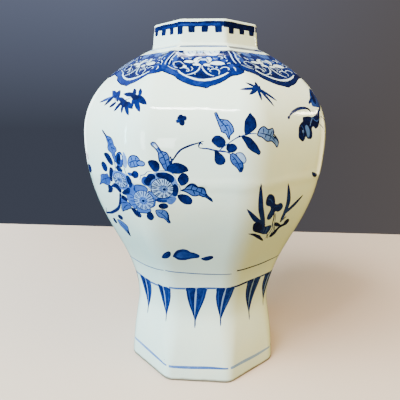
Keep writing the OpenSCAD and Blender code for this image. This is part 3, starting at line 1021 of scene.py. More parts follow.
def side_flowers(on):
    """The rest of the branch, on the left side face: its root, a second flower and more leaves."""
    brush(on, [
        (17, 247), (14.5, 243), (12, 238), (8, 232), (3, 227), (-3, 223), (-10, 219.5), (-18, 216),
        (-26, 213), (-40, 210)
    ], 4.2, (0.9, 0.84), ends=(0.9, 0.6))
    brush(on, [(-38, 207), (-36, 213), (-33, 219)], 1.8, 0.85)
    brush(on, [(12, 289), (16, 283), (17, 276), (15, 271)], 2.2, 0.62)
    pale_leaf(on, [
        (-7, 313), (-3, 311.5), (0, 309.5), (4, 307.3), (10, 306.6), (14, 305), (17, 301), (18.5, 298),
        (22, 296), (23, 293.5), (20, 292), (19, 289), (20, 284), (18, 281), (14, 285), (11, 290), (6, 292),
        (4, 295), (5, 299), (3, 303), (1, 306.5)
    ], (0.66, 0.56), ribs=[
        [(-3, 311), (5, 304), (11, 298), (16, 289), (18, 284)], [(6, 303), (12, 304)],
        [(9, 299.5), (16, 299.5)], [(12, 296), (20, 294.5)], [(9, 299), (6, 296)]
    ])
    dark_leaf(on, [
        (-5, 288), (0, 289), (5, 288.5), (9, 285.5), (12, 282), (13, 279), (11, 277), (7, 277.5),
        (3, 279.5), (-1, 283), (-4, 286)
    ])
    dark_leaf(on, [
        (-13, 277), (-10, 278.5), (-6, 278), (-2, 275.5), (-1, 272), (-3, 269), (-7, 268), (-11, 269.5),
        (-13, 272.5), (-14, 275)
    ])
    pale_leaf(on, [
        (20, 280), (19, 284), (20.5, 288), (24, 291), (28, 292.2), (32, 291.5), (34.5, 288), (34, 283),
        (31.5, 278), (28, 277), (23, 277)
    ], 0.68)
    wash(on, [(21, 281), (21.5, 287), (24.5, 290), (28, 290), (29, 285), (27.5, 280), (24, 279)], 0.97)
    wash(on, [(30.5, 290), (32.5, 289), (32.8, 286), (31, 284.6), (30, 287)], 0.1)
    dark_leaf(on, [(18, 275), (22, 277.5), (27, 276.2), (31, 274), (30.5, 272), (26, 271), (21, 272.5)])
    pale_leaf(on, [
        (-30, 249), (-26, 252), (-22, 259), (-20, 262), (-14, 264), (-8, 264.5), (-3, 266), (-1, 263),
        (0, 258), (-3, 254), (-8, 252), (-14, 252), (-20, 252.5), (-26, 250.5)
    ], (0.54, 0.64), ribs=[
        [(-27, 251), (-18, 257), (-9, 259.5), (-1, 262)], [(-16, 258), (-13, 262.5)],
        [(-11, 259), (-10, 253)]
    ], contour=0.8)
    dark_leaf(on, [
        (-13, 242.5), (-10, 246), (-9, 250), (-5, 252.5), (0, 251.5), (2, 249.5), (0, 247), (-3, 244.5),
        (-8, 243)
    ])
    wash(on, [
        (9, 268), (12, 271.5), (20, 272), (30, 271.5), (37, 270), (38, 262), (36, 256), (29, 252),
        (18, 251.5), (11, 256), (8, 262)
    ], 0.46)
    wash(on, [
        (30, 246), (33, 252), (37, 257), (40, 260), (46, 262.5), (49, 258), (47, 250), (44, 246), (38, 244)
    ], 0.56)
    wash(on, [(35, 293), (39, 291.6), (42, 287), (41.5, 280), (38, 276.5), (35, 280)], 0.36)
    flower_head(on, (22.5, 262), 13, 8.2, 24, (21, 262.5), body=0.25, ray_tone=0.86)
    wash(on, [
        (3, 272), (6, 274.5), (10, 274), (12, 271.5), (10, 269), (8, 265), (6, 260), (4, 257.5), (1, 258),
        (0, 262), (1, 267)
    ], (0.97, 0.92))
    wash(on, [
        (-2, 251), (3, 254.5), (8, 257), (13, 256), (17, 254), (21, 250.5), (19, 247.5), (15, 247),
        (10, 250), (5, 251)
    ], (0.85, 0.92))
    wash(on, [
        (20, 248), (25, 251), (31, 253.5), (36, 256), (40, 255.5), (38, 251), (33, 247.5), (27, 246),
        (22, 246)
    ], (0.95, 0.85))
    dark_leaf(on, [(17, 243), (20, 244.5), (26, 244), (29, 241.5), (27, 239.5), (22, 240), (18, 240)])
    wash(on, [
        (37, 269), (40, 270), (44, 268), (46, 264), (45, 260), (42, 256.5), (39, 257), (37.5, 261),
        (36.5, 265)
    ], (0.95, 0.9))
    pale_leaf(on, [
        (43, 282), (44, 286), (47, 289.5), (52, 291), (57, 290), (60, 286), (59, 282), (55, 280), (50, 279),
        (46, 278.5)
    ], 0.5, ribs=[
        [(45, 283), (52, 285.5), (59, 286)], [(50, 285), (48.5, 289.5)], [(51, 285), (53, 280)],
        [(54, 286), (55.5, 290)], [(48, 284), (47, 279.5)]
    ])
    brush(on, [(33, 288), (34.5, 279), (36.6, 273), (40.4, 267), (43, 261)], 1.3, (0.8, 0.92))
    for x in (37.6, 40):
        brush(on, [(x, 281), (x + 0.9, 285), (x, 290)], 1.1, 0.5)
    wash(on, [(40, 272), (43, 273.2), (48, 272.8), (48, 269.8), (43, 269.5)], 0.72)
    dark_leaf(on, [
        (47, 271), (49, 274), (52, 275.5), (55, 274.8), (56.3, 272), (54.5, 269), (50.5, 268.2), (48, 269.4)
    ])
    pale_leaf(on, [
        (47, 257), (52, 260.5), (58, 261.2), (62, 259), (62, 255), (56, 253.6), (50, 253.3), (46.5, 254.5)
    ], 0.58, contour=0.8)
    pale_leaf(on, [
        (15, 241), (20, 239.5), (26, 239), (31, 237), (33, 234), (31, 231.5), (26, 229.5), (20, 227),
        (14, 225), (8, 222.5), (8, 226), (11, 231), (13, 236)
    ], (0.6, 0.5), ribs=[
        [(10, 224), (17, 230), (25, 234), (32, 234.5)], [(13, 234), (19, 236), (26, 236.6)],
        [(17, 230), (20, 228)]
    ])
    pale_leaf(on, [
        (29, 247), (33, 248), (39, 249), (45, 245), (47, 240), (44, 235), (40, 232.5), (36, 234), (32, 237),
        (30, 241)
    ], 0.5, ribs=[[(34, 241), (45, 242)], [(36, 237), (44, 238)], [(35, 245), (43, 246)]], contour=0.76)
    dark_leaf(on, [
        (31, 231), (34, 232.5), (40, 231.5), (45, 229), (46.5, 226), (44, 223), (39, 223), (35, 225),
        (33, 228)
    ])
    dark_leaf(on, [(-10, 211), (-6, 214.5), (0, 215), (2, 213), (0, 210), (-5, 208.5)])
    pale_leaf(on, [
        (-15, 206), (-5, 206.5), (5, 202), (3, 195), (0, 186), (-5, 190), (-10, 195), (-15, 199)
    ], (0.42, 0.6), ribs=[[(-13, 203), (-5, 199), (-1, 190)], [(-8, 201), (-8, 205)]])
    wash(on, [(-3, 192), (1, 195), (1.5, 189), (0, 185)], 0.95)
    dark_leaf(on, [(-26, 205), (-22, 206), (-20, 203), (-21, 199.5), (-25, 199), (-27, 202)])
    dark_leaf(on, [(-58, 284), (-52, 286), (-46, 283), (-46, 278), (-52, 277), (-57, 279)])
    dark_leaf(on, [(-55, 268), (-49, 272), (-42, 270), (-41, 265), (-47, 261), (-53, 263)])


def iris_clump(on):
    """The clump low on the right side face: blade leaves, a dark flower and leaves at its foot."""
    blade(on, (-26, 213), (-48.5, 265), 7.0, (0.76, 0.88), bend=0.07)
    blade(on, (-24, 212), (-58, 238), 5.4, (0.80, 0.90), bend=0.05)
    blade(on, (3, 211), (-4.5, 260), 7.2, (0.74, 0.88), bend=-0.10)
    blade(on, (2, 221), (29, 242), 5.6, (0.76, 0.88), bend=-0.03)
    brush(on, [(-17, 229), (-13, 220), (-11, 208)], 2.0, 0.9)
    brush(on, [(-13, 226), (-9, 216), (-8, 210)], 1.1, 0.7)
    wash(on, [
        (-35, 250), (-33, 251.4), (-28, 250.6), (-23, 247), (-20, 242), (-19, 239), (-15, 237.3),
        (-10, 238.2), (-6, 236.2), (-3, 232), (-5, 228.2), (-10, 227), (-14, 228.5), (-16, 224), (-18, 220),
        (-21, 219), (-25, 221), (-26, 226), (-24, 232), (-26, 236), (-32, 238.2), (-35, 241), (-36, 246)
    ], (0.9, 0.82))
    brush(on, [(-33, 246), (-28, 244.6), (-23.5, 240)], 1.0, 0.66)
    brush(on, [(-22, 223), (-21.5, 228), (-19, 234), (-12, 235)], 1.0, 0.7)
    wash(on, [
        (-44, 219), (-38, 219.6), (-33, 217), (-28, 213.6), (-22, 211), (-14, 211), (-11, 207), (-12, 202),
        (-14, 199), (-20, 199.6), (-26, 202), (-33, 205), (-40, 208.4), (-43, 213)
    ], (0.97, 0.76))
    wash(on, [
        (-43, 218), (-37, 218.4), (-30, 213), (-27, 208), (-30, 204.4), (-37, 207.6), (-42, 212)
    ], 0.98)
    for x, top, low, tone in [(-24, 210, 202, 0.6), (-19, 210, 200, 0.6), (-15, 210, 200, 0.95)]:
        brush(on, [(x, top), (x + 1.4, (top + low) / 2), (x + 0.6, low)], 1.3, tone)
    wash(on, [
        (-46, 206), (-38, 205.2), (-31, 202), (-25, 199), (-22, 196), (-17, 192), (-15, 189), (-18, 190),
        (-24, 193.6), (-30, 197), (-38, 202)
    ], (0.95, 0.98))
    for points, width, tone in [
        ([(-12, 214), (-8.5, 206), (-10, 198), (-14, 191)], 1.6, 0.72),
        ([(-8, 212), (-5, 202), (-8, 192)], 1.5, 0.8), ([(-15, 201), (-11, 194), (-9, 191)], 1.5, 0.85),
        ([(-5, 208), (-2, 200), (-4, 193)], 1.3, 0.9), ([(5, 213), (8, 216), (10.5, 217)], 2.1, 0.93),
        ([(2, 222), (1.5, 217), (3, 211)], 2.2, 0.93)
    ]:
        brush(on, points, width, tone)
    wash(on, [(-9, 213), (-4, 212.4), (1, 210), (6, 206.4), (0, 205.4), (-6, 208.6)], 0.97)
    wash(on, [(15 + 5 * math.cos(a), 208.6 + 4.6 * math.sin(a)) for a in np.linspace(0, 5.5, 9)], 0.98)
    wash(on, [
        (-7, 196), (-3, 199.4), (1, 203.6), (6, 207), (12, 207), (15, 204), (8, 202.6), (5, 200), (3, 195),
        (-2, 191.4), (-6, 192)
    ], 0.97)


def body_section(node, joint_below, joint_above):
    """Builds the wall section between two joints: painted skin, inner face, and a face to each slip."""
    wall, low_rim, high_rim = painted_skin(rows_between(joint_below, joint_above))
    high_rim = meet_slip(wall, high_rim, joint_above, -1)
    inner_rim = line_below(wall, high_rim, joint_above, joint_below + HALF_SLIP)
    low_rim = meet_slip(wall, low_rim, joint_below, 1)
    join_rims(wall, inner_rim, low_rim)
    fired_section(wall, node)


for start in (0, 4):
    rocks(on_side(0, start))
    side_flowers(on_side(-1, start))
    front_flowers(on_side(0, start))
    iris_clump(on_side(1, start))
iris_clump(on_side(0, 2, -1))
body_section("lower_body", WAIST_JOINT, BELLY_JOINT)


# The belly slip: the layer of slip between the lower body and the shoulder section, the same thinned
# clay as at the waist, wiped off a little under the outer face and left as a bead inside.
dress("belly_slip", dried_slip)


# The shoulder: the widest section, pressed in its own mould and closing in to the neck. The upper half
# of each spray, a bee, the bamboo sprigs and the collar of hanging lappets are painted on it.
def bee(on):
    """A bee above the branch, in four dabs of the brush."""
    wash(on, [(-18.5, 327), (-16.5, 330.5), (-13.5, 331), (-12, 328.5), (-14, 326), (-16.5, 325.5)], 0.97)
    wash(on, [(-13.5, 329), (-10.5, 330), (-8.5, 327.5), (-10, 325), (-13, 325.5)], 0.95)
    wash(on, [(-15, 326.5), (-11.5, 326), (-10.5, 322.5), (-12.5, 320), (-15.5, 321), (-16.5, 324)], 0.96)
    wash(on, [(-19.5, 325.5), (-16, 326.5), (-15.5, 323.5), (-18.5, 322.5)], 0.9)


def shoulder_leaves(on):
    """Leaves at the tip of the flowering branch, on the right of the front face."""
    brush(on, [
        (28, 302), (33, 306), (38, 309.4), (42, 311), (50, 313.4), (57, 313.4), (61, 311.2)
    ], 1.3, (0.85, 0.6))
    brush(on, [(12, 299), (22, 297), (28, 296.5), (33, 295.5)], 1.6, 0.8)
    brush(on, [(22, 297), (27, 302), (31, 304.5)], 1.4, 0.6)
    wash(on, [(39.4, 311), (41, 312.4), (42.6, 311), (41, 309.6)], 0.95)
    dark_leaf(on, [
        (43, 310.5), (47, 311), (51, 309.6), (55, 306), (58.5, 302), (61, 298), (62.5, 296), (61, 293.5),
        (57, 295.5), (53, 297.5), (49, 301), (46, 306)
    ])
    pale_leaf(on, [
        (17, 332.5), (18.5, 333.5), (20.5, 330), (22, 327), (25, 326.5), (29, 326), (32, 323.5),
        (34.5, 320), (35.5, 316), (34.5, 314), (32, 311.5), (31.5, 307.5), (30, 310), (28, 313.5),
        (24, 315), (23, 318), (21, 322), (20, 325)
    ], 0.5, ribs=[
        [(18.5, 331.5), (23, 325), (27, 321), (30, 316), (31, 310)], [(26, 322), (23, 320)],
        [(27, 321), (31.5, 321)], [(29, 317), (26, 315.5)], [(24, 324), (26, 326)]
    ], contour=0.92)
    brush(on, [(32.6, 311.5), (33, 315), (31, 320), (27.5, 324)], 0.9, 0.7)
    dark_leaf(on, [
        (50.5, 333), (52.3, 330.5), (55, 328), (56.6, 324), (57, 320), (54, 316.5), (50, 314), (47, 312),
        (45.4, 316), (45.4, 321), (46, 326), (48.5, 330)
    ])
    dark_leaf(on, [
        (15.3, 308), (18, 311), (22, 311.2), (26, 309), (28, 305), (26, 301.4), (22, 300.3), (18, 303),
        (15, 306)
    ])
    dark_leaf(on, [
        (30, 303), (34, 304), (37, 303), (39, 300), (37, 297), (33, 296), (30, 297.5), (29, 300)
    ])
    dark_leaf(on, [
        (18, 298), (21, 296), (24, 294), (27, 291), (28.2, 287.5), (26.5, 284.8), (23, 283.8),
        (19.5, 285.3), (18, 289), (18.3, 293)
    ])
    pale_leaf(on, [
        (38, 295), (43, 295.8), (46.5, 292.5), (48, 288.5), (46, 285.5), (43, 288), (40, 291.5)
    ], 0.26, contour=0.8, width=1.0)
    pale_leaf(on, [
        (33, 294), (36, 295), (39, 292.5), (42, 289), (45, 285), (45.5, 281), (44, 277.3), (42, 277),
        (40.5, 280), (38, 282.5), (35, 285), (33, 289)
    ], (0.5, 0.68), ribs=[
        [(34, 293), (38, 289), (41, 284), (43.4, 278)], [(37, 290), (34.5, 288.5)],
        [(40, 286.5), (37.6, 285)], [(41, 285), (43.6, 285.6)]
    ], contour=0.92)
    wash(on, [(42, 281), (44.5, 282), (45.3, 279.6), (44, 277.4), (42.2, 277.4)], 0.93)


def right_leaves(on):
    """What reaches over on to the right side face: a ruffled leaf, an arched stem and a dark flower."""
    pale_leaf(on, [
        (-57, 312), (-54, 318), (-49, 320), (-44, 317), (-38, 318), (-36, 314), (-38, 311), (-33, 308),
        (-29, 304), (-31, 299.5), (-35, 303), (-40, 306), (-46, 306), (-52, 310)
    ], 0.42, ribs=[
        [(-54, 314), (-47, 312.5), (-40, 310), (-33, 304)], [(-50, 314), (-50, 318.5)],
        [(-45, 313), (-43, 317)], [(-42, 311), (-38.5, 316)], [(-47, 312.5), (-49, 309)],
        [(-41, 310), (-43, 307)], [(-36, 307), (-36, 310.5)]
    ], contour=0.93, width=1.3)
    brush(on, [(-36.6, 317.5), (-37, 313), (-32, 308.5), (-28.8, 304), (-30.8, 300)], 1.7, 0.93)
    wash(on, [(-13, 328.2), (-11, 329.8), (-8.6, 329), (-9.4, 326.8), (-12, 326.4)], 0.9)
    brush(on, [
        (-10, 328.5), (-8, 330.5), (-3, 333.5), (3, 335.5), (8, 337), (15, 338), (22, 338), (27, 337),
        (30, 334)
    ], 3.5, (0.8, 0.95), ends=(0.35, 0.6))
    wash(on, [
        (3, 312), (4, 318), (8, 322), (12, 324), (13, 328), (20, 329), (25, 329), (29, 328.2), (35, 329.4),
        (42.2, 333.6), (43.6, 329), (43, 323.7), (40, 318.3), (34, 315.3), (30, 318), (27, 316), (28, 311),
        (27, 306), (24, 305), (19, 305.5), (16, 308), (14, 305), (11, 303), (6, 305), (3, 308)
    ], (0.96, 1.0))
    wash(on, [(15, 318), (18, 320), (21, 318), (23, 313), (22, 308), (19, 307), (17, 312)], 0.46)
    wash(on, [(9.6, 314.5), (11.5, 315), (12.6, 312.6), (11, 311.4)], 0.38)
    wash(on, [(34, 328), (38, 330), (42, 334), (46.5, 337), (46, 331), (43.6, 325), (38, 322)], 0.97)
    brush(on, [(24.4, 319), (27, 323.5), (30.4, 327.4)], 0.9, 0.4)
    brush(on, [(30.6, 329), (33.4, 325), (38, 323.6), (42, 326)], 0.8, 0.55)
    brush(on, [(8, 320), (12, 316), (11, 308)], 0.8, 0.66)
    brush(on, [(47, 329), (55, 326), (62.4, 323)], 1.6, 0.9)
    brush(on, [(42.3, 320.4), (50, 316), (56.5, 311.2)], 1.6, 0.9)
    wash(on, [
        (35.5, 345), (37, 350), (39.6, 355), (43, 360), (46, 363), (52, 361), (56, 352), (60, 344),
        (57, 341), (50, 338.6), (45, 339), (36, 340)
    ], (0.7, 0.86))
    wash(on, [(40, 345), (41, 352), (44, 358), (47.5, 356), (47, 348), (44, 342.5)], 0.97)
    brush(on, [(50, 341), (52, 349), (50, 358)], 1.4, 0.95)
    blade(on, (31, 343), (41, 351), 3.5, 0.9)
    blade(on, (44, 333), (60, 344), 3.5, 0.9)
    dark_leaf(on, [(35, 268), (42, 266), (48, 264), (45, 261.5), (38, 263.4)])


def bamboo_sprig(on):
    """The bamboo sprig high on the left side face: three nodes, each with its fan of blades."""
    brush(on, [(4, 351), (14, 348.5), (24, 345), (36, 348), (43, 350)], 1.1, 0.8)
    wash(on, [
        (-10, 357.2), (-3, 357.4), (1, 355.6), (5, 358), (9, 356.6), (12, 352.5), (13, 349), (7, 347.8),
        (2, 347.8), (-3, 349.6), (-6, 353)
    ], (0.8, 0.92))
    for root, tip, width, tone in [
        ((0, 350), (-26, 343.2), 4.0, 0.5), ((1, 350), (-13, 339.4), 5.6, 0.9),
        ((11, 342.8), (-0.6, 337.6), 4.4, 0.94), ((7, 350), (14, 343.6), 4.4, 0.8)
    ]:
        blade(on, root, tip, width, (tone, 0.96))
    brush(on, [(5, 349), (7, 345), (9, 342)], 1.4, 0.7, ends=(0.6, 0.6))
    for root, tip, width in [
        ((23, 344), (11.6, 333), 5.4), ((25, 342), (29, 331.2), 5.4), ((30, 342), (43, 329.4), 6.2),
        ((32, 343), (47, 336.2), 5.4), ((25, 345), (11, 347.8), 5.0)
    ]:
        blade(on, root, tip, width, (0.98, 0.84))
    wash(on, [
        (17, 346.6), (22, 347.4), (27, 346), (33, 343.6), (36, 340.4), (32, 337.6), (26, 338.4), (20, 341.4)
    ], (0.96, 1.0))
    for root, tip, width, tone in [
        ((42, 350.8), (18, 353), 5.4, 0.96), ((41, 348), (45.6, 336.6), 5.0, 0.8),
        ((44, 348), (57, 333), 5.8, 0.84), ((45, 350.4), (61.6, 340.6), 6.2, 0.98),
        ((42, 351), (32.6, 358.8), 5.0, 0.9), ((50, 350), (43.6, 358.8), 4.6, 0.86)
    ]:
        blade(on, root, tip, width, (tone, 0.92))
    wash(on, [
        (33, 351), (39, 352.2), (44, 351.2), (48, 350), (50, 347.6), (47, 345.6), (43, 345), (39, 346.6),
        (36, 348.6)
    ], (0.96, 1.0))


def bamboo_tuft(on):
    """The smaller tuft at the top of the right side face."""
    wash(on, [(-49, 359), (-46, 363), (-41, 363), (-38.4, 359.6), (-40, 356.6), (-44, 355.4)], 0.95)
    for tip, width in [
        ((-62.5, 357.4), 3.4), ((-53, 366), 3.6), ((-41, 367.6), 4.2), ((-56, 351.4), 3.8),
        ((-45, 345.4), 3.8), ((-29, 339), 3.8), ((-22, 345.4), 3.8), ((-37.6, 362), 3.0)
    ]:
        blade(on, (-43, 359.5), tip, width, (0.84, 0.96))


for start in (0, 4):
    bee(on_side(0, start))
    bamboo_sprig(on_side(-1, start))
    bamboo_tuft(on_side(1, start))
    shoulder_leaves(on_side(0, start))
    right_leaves(on_side(1, start))
bee(on_side(0, 2, -1))

# The collar: the places of its cusps round the wall, in side faces, and the size of the front lappet
lappet_cusps = [-1.37, -0.38, 0.5, 1.6, 2.606, 3.612, 4.618, 5.624, 6.63]
LAPPET_TOP = 424
FRONT_LAPPET_MIDDLE = 0.055
FRONT_LAPPET_HALF = 0.445


def in_lappet(centre, half_width, deep):
    """Takes millimetres read on the front lappet to any other lappet, drawn in to its width and depth."""
    def placed(points):
        points = np.asarray(points, float)
        across = points[:, 0] / (2 * half_run(points[:, 1])) - FRONT_LAPPET_MIDDLE
        heights = LAPPET_TOP - (LAPPET_TOP - points[:, 1]) * deep
        return np.stack([(centre + across * half_width / FRONT_LAPPET_HALF) * FACE_RUN, heights], -1)
    return placed


def lappet(on, border_tone, top_tone):
    """One hanging lappet of the collar: a dark ground with a lotus, stems and scrolls left white."""
    border = [
        (-37, 381.2), (-35, 380.3), (-30, 377.5), (-25, 374.8), (-20.5, 370), (-15, 366.5), (-10, 363.8),
        (-5, 361.8), (0, 360.8), (4, 360), (7.5, 359), (9.5, 359.6), (11, 361), (15, 362.5), (20, 364.8),
        (25, 368.3), (30, 372.8), (33, 374.8), (38, 375.8), (42, 377.8), (45, 380.5)
    ]
    inner = [
        (-34, 391), (-32, 389.5), (-29, 386.5), (-26, 384.3), (-23, 383.5), (-21.5, 383), (-20.5, 379.5),
        (-17, 376), (-13, 373.5), (-8, 370.8), (-3, 368.8), (2, 367.6), (7, 367.3), (11, 368), (15, 369.5),
        (20, 371.5), (25, 374.5), (28, 377.5), (30, 379.5), (33, 381.5), (36, 384), (38.5, 387),
        (39.5, 391), (39, 394)
    ]
    band_top = [(44, 392), (40, 406), (36.5, 422), (-32.5, 422), (-37.5, 406), (-40, 392)]
    lay(on, np.vstack([through(border), band_top]), (border_tone - 0.05, border_tone + 0.05))
    ground_top = [(37, 405), (33.5, 414), (31, 422), (-29, 422), (-31, 414), (-34.5, 402)]
    lay(on, np.vstack([through(inner), ground_top]), (0.93, 0.88))
    brush(on, border, 1.4, border_tone + 0.12, ends=(1, 1))
    wash(on, [(-21, 377.5), (-26, 381.5), (-33, 388), (-34, 384), (-27, 377)], border_tone - 0.1)
    for points, tone in [
        ([(-29, 396), (-25, 399), (-23, 407), (-22, 414), (-25, 419), (-28, 410)], 0.70),
        ([(22, 396), (27, 399), (28, 408), (26, 416), (22, 414), (21, 405)], 0.74),
        ([(-16, 402), (-11, 402), (-8, 406), (-12, 408), (-17, 407)], 0.72),
        ([(11, 400), (17, 401), (18, 407), (13, 408)], 0.70),
        ([(-30, 388), (-24, 387), (-24, 390), (-29, 393)], 0.76),
        ([(29, 385), (34, 388), (33, 393), (29, 391)], 0.74)
    ]:
        wash(on, points, tone)
    lay(on, np.array([
        (-22, 382.5), (-19.5, 378.5), (-15, 374.8), (-10, 371.8), (-5, 369.5), (0, 368), (6, 367.6),
        (12, 368.4), (18, 370.8), (23, 373.6), (27, 377), (29.5, 379.6), (28, 379.8), (24, 376.8),
        (20, 374.4), (15, 372), (10, 371), (5, 370.2), (0, 370.4), (-5, 372), (-10, 374), (-15, 377),
        (-18.5, 380), (-21, 383.5)
    ]), 0.08)
    for points in [
        [(-18, 421.6), (-18.6, 417), (-16, 411.5), (-11, 408.6), (-7, 411), (-5.4, 416), (-7, 421.6)],
        [(3, 421.6), (3, 416.4), (6.6, 411.4), (13, 409.4), (17.6, 412), (19, 417.4), (18.4, 421.6)]
    ]:
        wash(on, points, top_tone)
        brush(on, points[1:-1], 0.9, top_tone + 0.45)
    wash(on, [(-4.6, 421.6), (-3.4, 415), (-1, 412.6), (1.2, 415), (1.6, 421.6)], top_tone + 0.12)
    for points, width, tone in [
        ([(-14.6, 420.5), (-13, 415), (-9.6, 411.8)], 1.2, 0.45), ([(-10.4, 421), (-9.4, 417)], 1.2, 0.4),
        ([(8, 420.5), (10, 415), (13.6, 412.4)], 1.2, 0.45), ([(13.4, 421), (14.6, 417)], 1.2, 0.4),
        ([(-1.4, 420.5), (-1.2, 416.6)], 1.2, 0.6),
        ([(-3, 409), (3, 408.2), (9, 408), (13, 407)], 1.6, 0.7),
        ([(-20, 421), (-19.6, 414), (-18, 409)], 1.6, 0.95),
        ([(20.6, 421), (20.4, 414), (18.6, 409.6)], 1.6, 0.95)
    ]:
        brush(on, points, width, tone)
    for points, width in [
        ([(-24.5, 420), (-27, 412), (-29.5, 406), (-31, 400), (-32, 393)], 1.1),
        ([(-28.5, 420), (-31, 412), (-33.5, 405), (-35.5, 398), (-36, 393)], 1.1),
        ([(30, 413), (31.5, 406), (33, 401), (35, 396)], 0.9),
        ([(33, 417), (35, 410), (36.5, 405), (38, 400), (39, 394), (39.5, 388)], 1.2)
    ]:
        brush(on, points, width, 0.16, ends=(0.6, 0.6))
    brush(on, [(-21.5, 402), (-22.5, 408), (-22, 415), (-20.5, 420)], 2.6, 0.95)
    brush(on, [(24, 402), (24.5, 408), (23.5, 414), (22.5, 420)], 2.8, 0.96)
    for points in [
        [(-17, 398), (-15, 400), (-11, 400.5), (-7.5, 399), (-6.5, 397), (-9, 395.5), (-13, 396),
         (-16, 396.8)],
        [(9.5, 394), (12, 397), (16, 398.5), (20, 398), (24, 395.5), (25, 393.5), (22, 392), (17, 391.5),
         (13, 392.5)],
        [(-4, 394), (-6.5, 397), (-7, 401), (-5, 405), (-1, 407), (1, 406), (-2, 403), (-3, 399),
         (-2.5, 395.5)],
        [(8, 395), (10.5, 398), (11.5, 402), (10, 405.5), (7, 406.5), (5.5, 405), (8, 402), (8.5, 398)],
        [(-7.5, 393.5), (-4, 394.5), (-1, 394), (1, 392), (-1, 390.5), (-4, 391), (-7, 391.5)],
        [(3.5, 393), (6, 394), (10, 393), (10.5, 391), (7, 390), (4, 390.5)],
        [(-17, 391), (-14, 390.5), (-13.5, 388), (-17, 388)],
        [(-5, 378), (-3, 377), (-1, 375), (-2.5, 374.8), (-4.5, 376)]
    ]:
        wash(on, points, 0.05)
    wash(on, [(-0.5, 403.5), (2, 405), (5, 404.5), (7.5, 402), (6, 399.5), (1, 399.5)], 0.4)
    brush(on, [(-2.5, 396), (-1.5, 400), (1, 402), (4, 402), (6.5, 400), (7.5, 396)], 1.4, 0.08)
    wash(on, [(-1, 395), (0, 398), (2.5, 399.5), (5, 398.5), (6, 395.5), (3, 393.5)], 0.8)
    brush(on, [(2.4, 402.5), (2.6, 405)], 0.7, 0.7)
    for points, width in [
        ([(0.5, 391), (0, 388), (-1, 384), (-4, 380), (-8, 377.5), (-13, 376)], 1.4),
        ([(2, 391), (3, 386), (5, 382), (8, 378), (12, 375.5), (15, 374.8)], 1.4),
        ([(-20, 386), (-17, 387.5), (-14, 387), (-11.5, 385), (-10.5, 382.5), (-11.5, 381), (-13, 382),
          (-12.5, 384)], 1.3), ([(-28, 394), (-26, 397), (-21, 398), (-17.5, 394), (-15.5, 391)], 0.9),
        ([(19.5, 377), (20, 381), (18.5, 384), (15.5, 385.3), (12.5, 384.8), (10.5, 383), (10.5, 381),
          (12, 380.5)], 1.1),
        ([(20.5, 385), (23, 387.5), (26, 388), (29, 386.5), (29.8, 384.5), (28, 383.2)], 1.1),
        ([(35, 391), (34, 395), (31, 398), (29.5, 400)], 1.1),
        ([(27.5, 394), (29.5, 395), (31, 393.5)], 1.0),
        ([(18, 407.5), (21, 407.5), (22.5, 404.5), (20.5, 402.5)], 1.3),
        ([(-20, 407), (-18.5, 404.5), (-17.5, 402.5)], 1.6), ([(36, 382), (35.5, 386), (33.5, 388)], 1.0),
        ([(-33, 390.5), (-29, 387), (-25, 384.6), (-22, 384.2)], 0.8),
        ([(-27, 391), (-25, 388), (-22, 387.4)], 0.8), ([(-26, 414), (-23.6, 411), (-24.4, 406.4)], 0.8),
        ([(26, 412), (24.4, 408), (26.4, 403.6)], 0.9),
        ([(-13, 405.4), (-10.6, 403.6), (-9.6, 405.6)], 0.8),
        ([(13, 404.6), (15, 402.6), (17, 403.4)], 0.8), ([(-9, 389), (-7, 385.4), (-8.6, 382)], 0.8),
        ([(8, 388.4), (11.6, 389), (14, 387.4)], 0.9), ([(33, 399), (30, 404), (30.4, 408)], 0.8)
    ]:
        brush(on, points, width, 0.13)
    for x, y in [(-27, 393), (17, 387.5), (9, 385), (-29.4, 402), (27, 399.4), (-21, 414.6)]:
        wash(on, [(x - 1.2, y), (x, y + 1.4), (x + 1.1, y), (x, y - 1.3)], 0.14)
    wash(on, [(-24.5, 391), (-22, 393), (-19.5, 391), (-22, 388.6)], 0.99)
    wash(on, [(-18, 382), (-16, 385), (-13.5, 383.5), (-15, 380.5)], 0.98)
    wash(on, [(-8, 375), (-2, 372.5), (5, 371.8), (11, 373), (6, 376.5), (1, 380), (-2, 378)], 0.97)


# The depth of each lappet as a share, and the tones of its border and of the cloud shapes at its top
lappet_looks = [
    (0.94, 0.82, 0.55), (1.0, 0.86, 0.1), (0.945, 0.97, 0.62), (0.97, 0.86, 0.4), (0.99, 0.84, 0.3),
    (0.95, 0.9, 0.5), (0.98, 0.84, 0.36), (0.96, 0.88, 0.45)
]
for left, right, (depth, border_tone, top_tone) in zip(lappet_cusps, lappet_cusps[1:], lappet_looks):
    lappet(in_lappet((left + right) / 2, (right - left) / 2, depth), border_tone, top_tone)

NECK_STROKE_CLIMB = 434
# The stroke on each face just under the neck, given in the same way as those over the waist
neck_strokes = [
    (-0.44, 433.9, 434.25, 0.49, 433.6, 5.6, (0.80, 0.66)),
    (0.515, 431.6, 432.5, 1.46, 432.4, 7.6, (0.92, 0.8)),
    (1.53, 431.5, 432.55, 2.47, 432.6, 4.6, (0.46, 0.4)),
    (2.53, 432.8, 433.5, 3.47, 433.2, 4.4, (0.4, 0.34)),
    (3.53, 433.6, 433.75, 4.46, 432.9, 4.7, (0.44, 0.34)),
    (4.54, 432.4, 433.1, 5.47, 432.8, 4.4, (0.4, 0.42)),
    (5.53, 433.6, 434.6, 6.47, 434.6, 4.4, (0.36, 0.3)),
    (6.53, 435.0, 435.3, 7.5, 434.6, 4.2, (0.28, 0.36))
]
ring_strokes(NECK_STROKE_CLIMB, neck_strokes, (0.8, 0.7))
body_section("shoulder", BELLY_JOINT, NECK_JOINT)


# The neck slip: the layer of slip that holds the neck on the shoulder, of the same thinned clay, wiped
# off a little under the outer face and left as a bead inside.
dress("neck_slip", dried_slip)


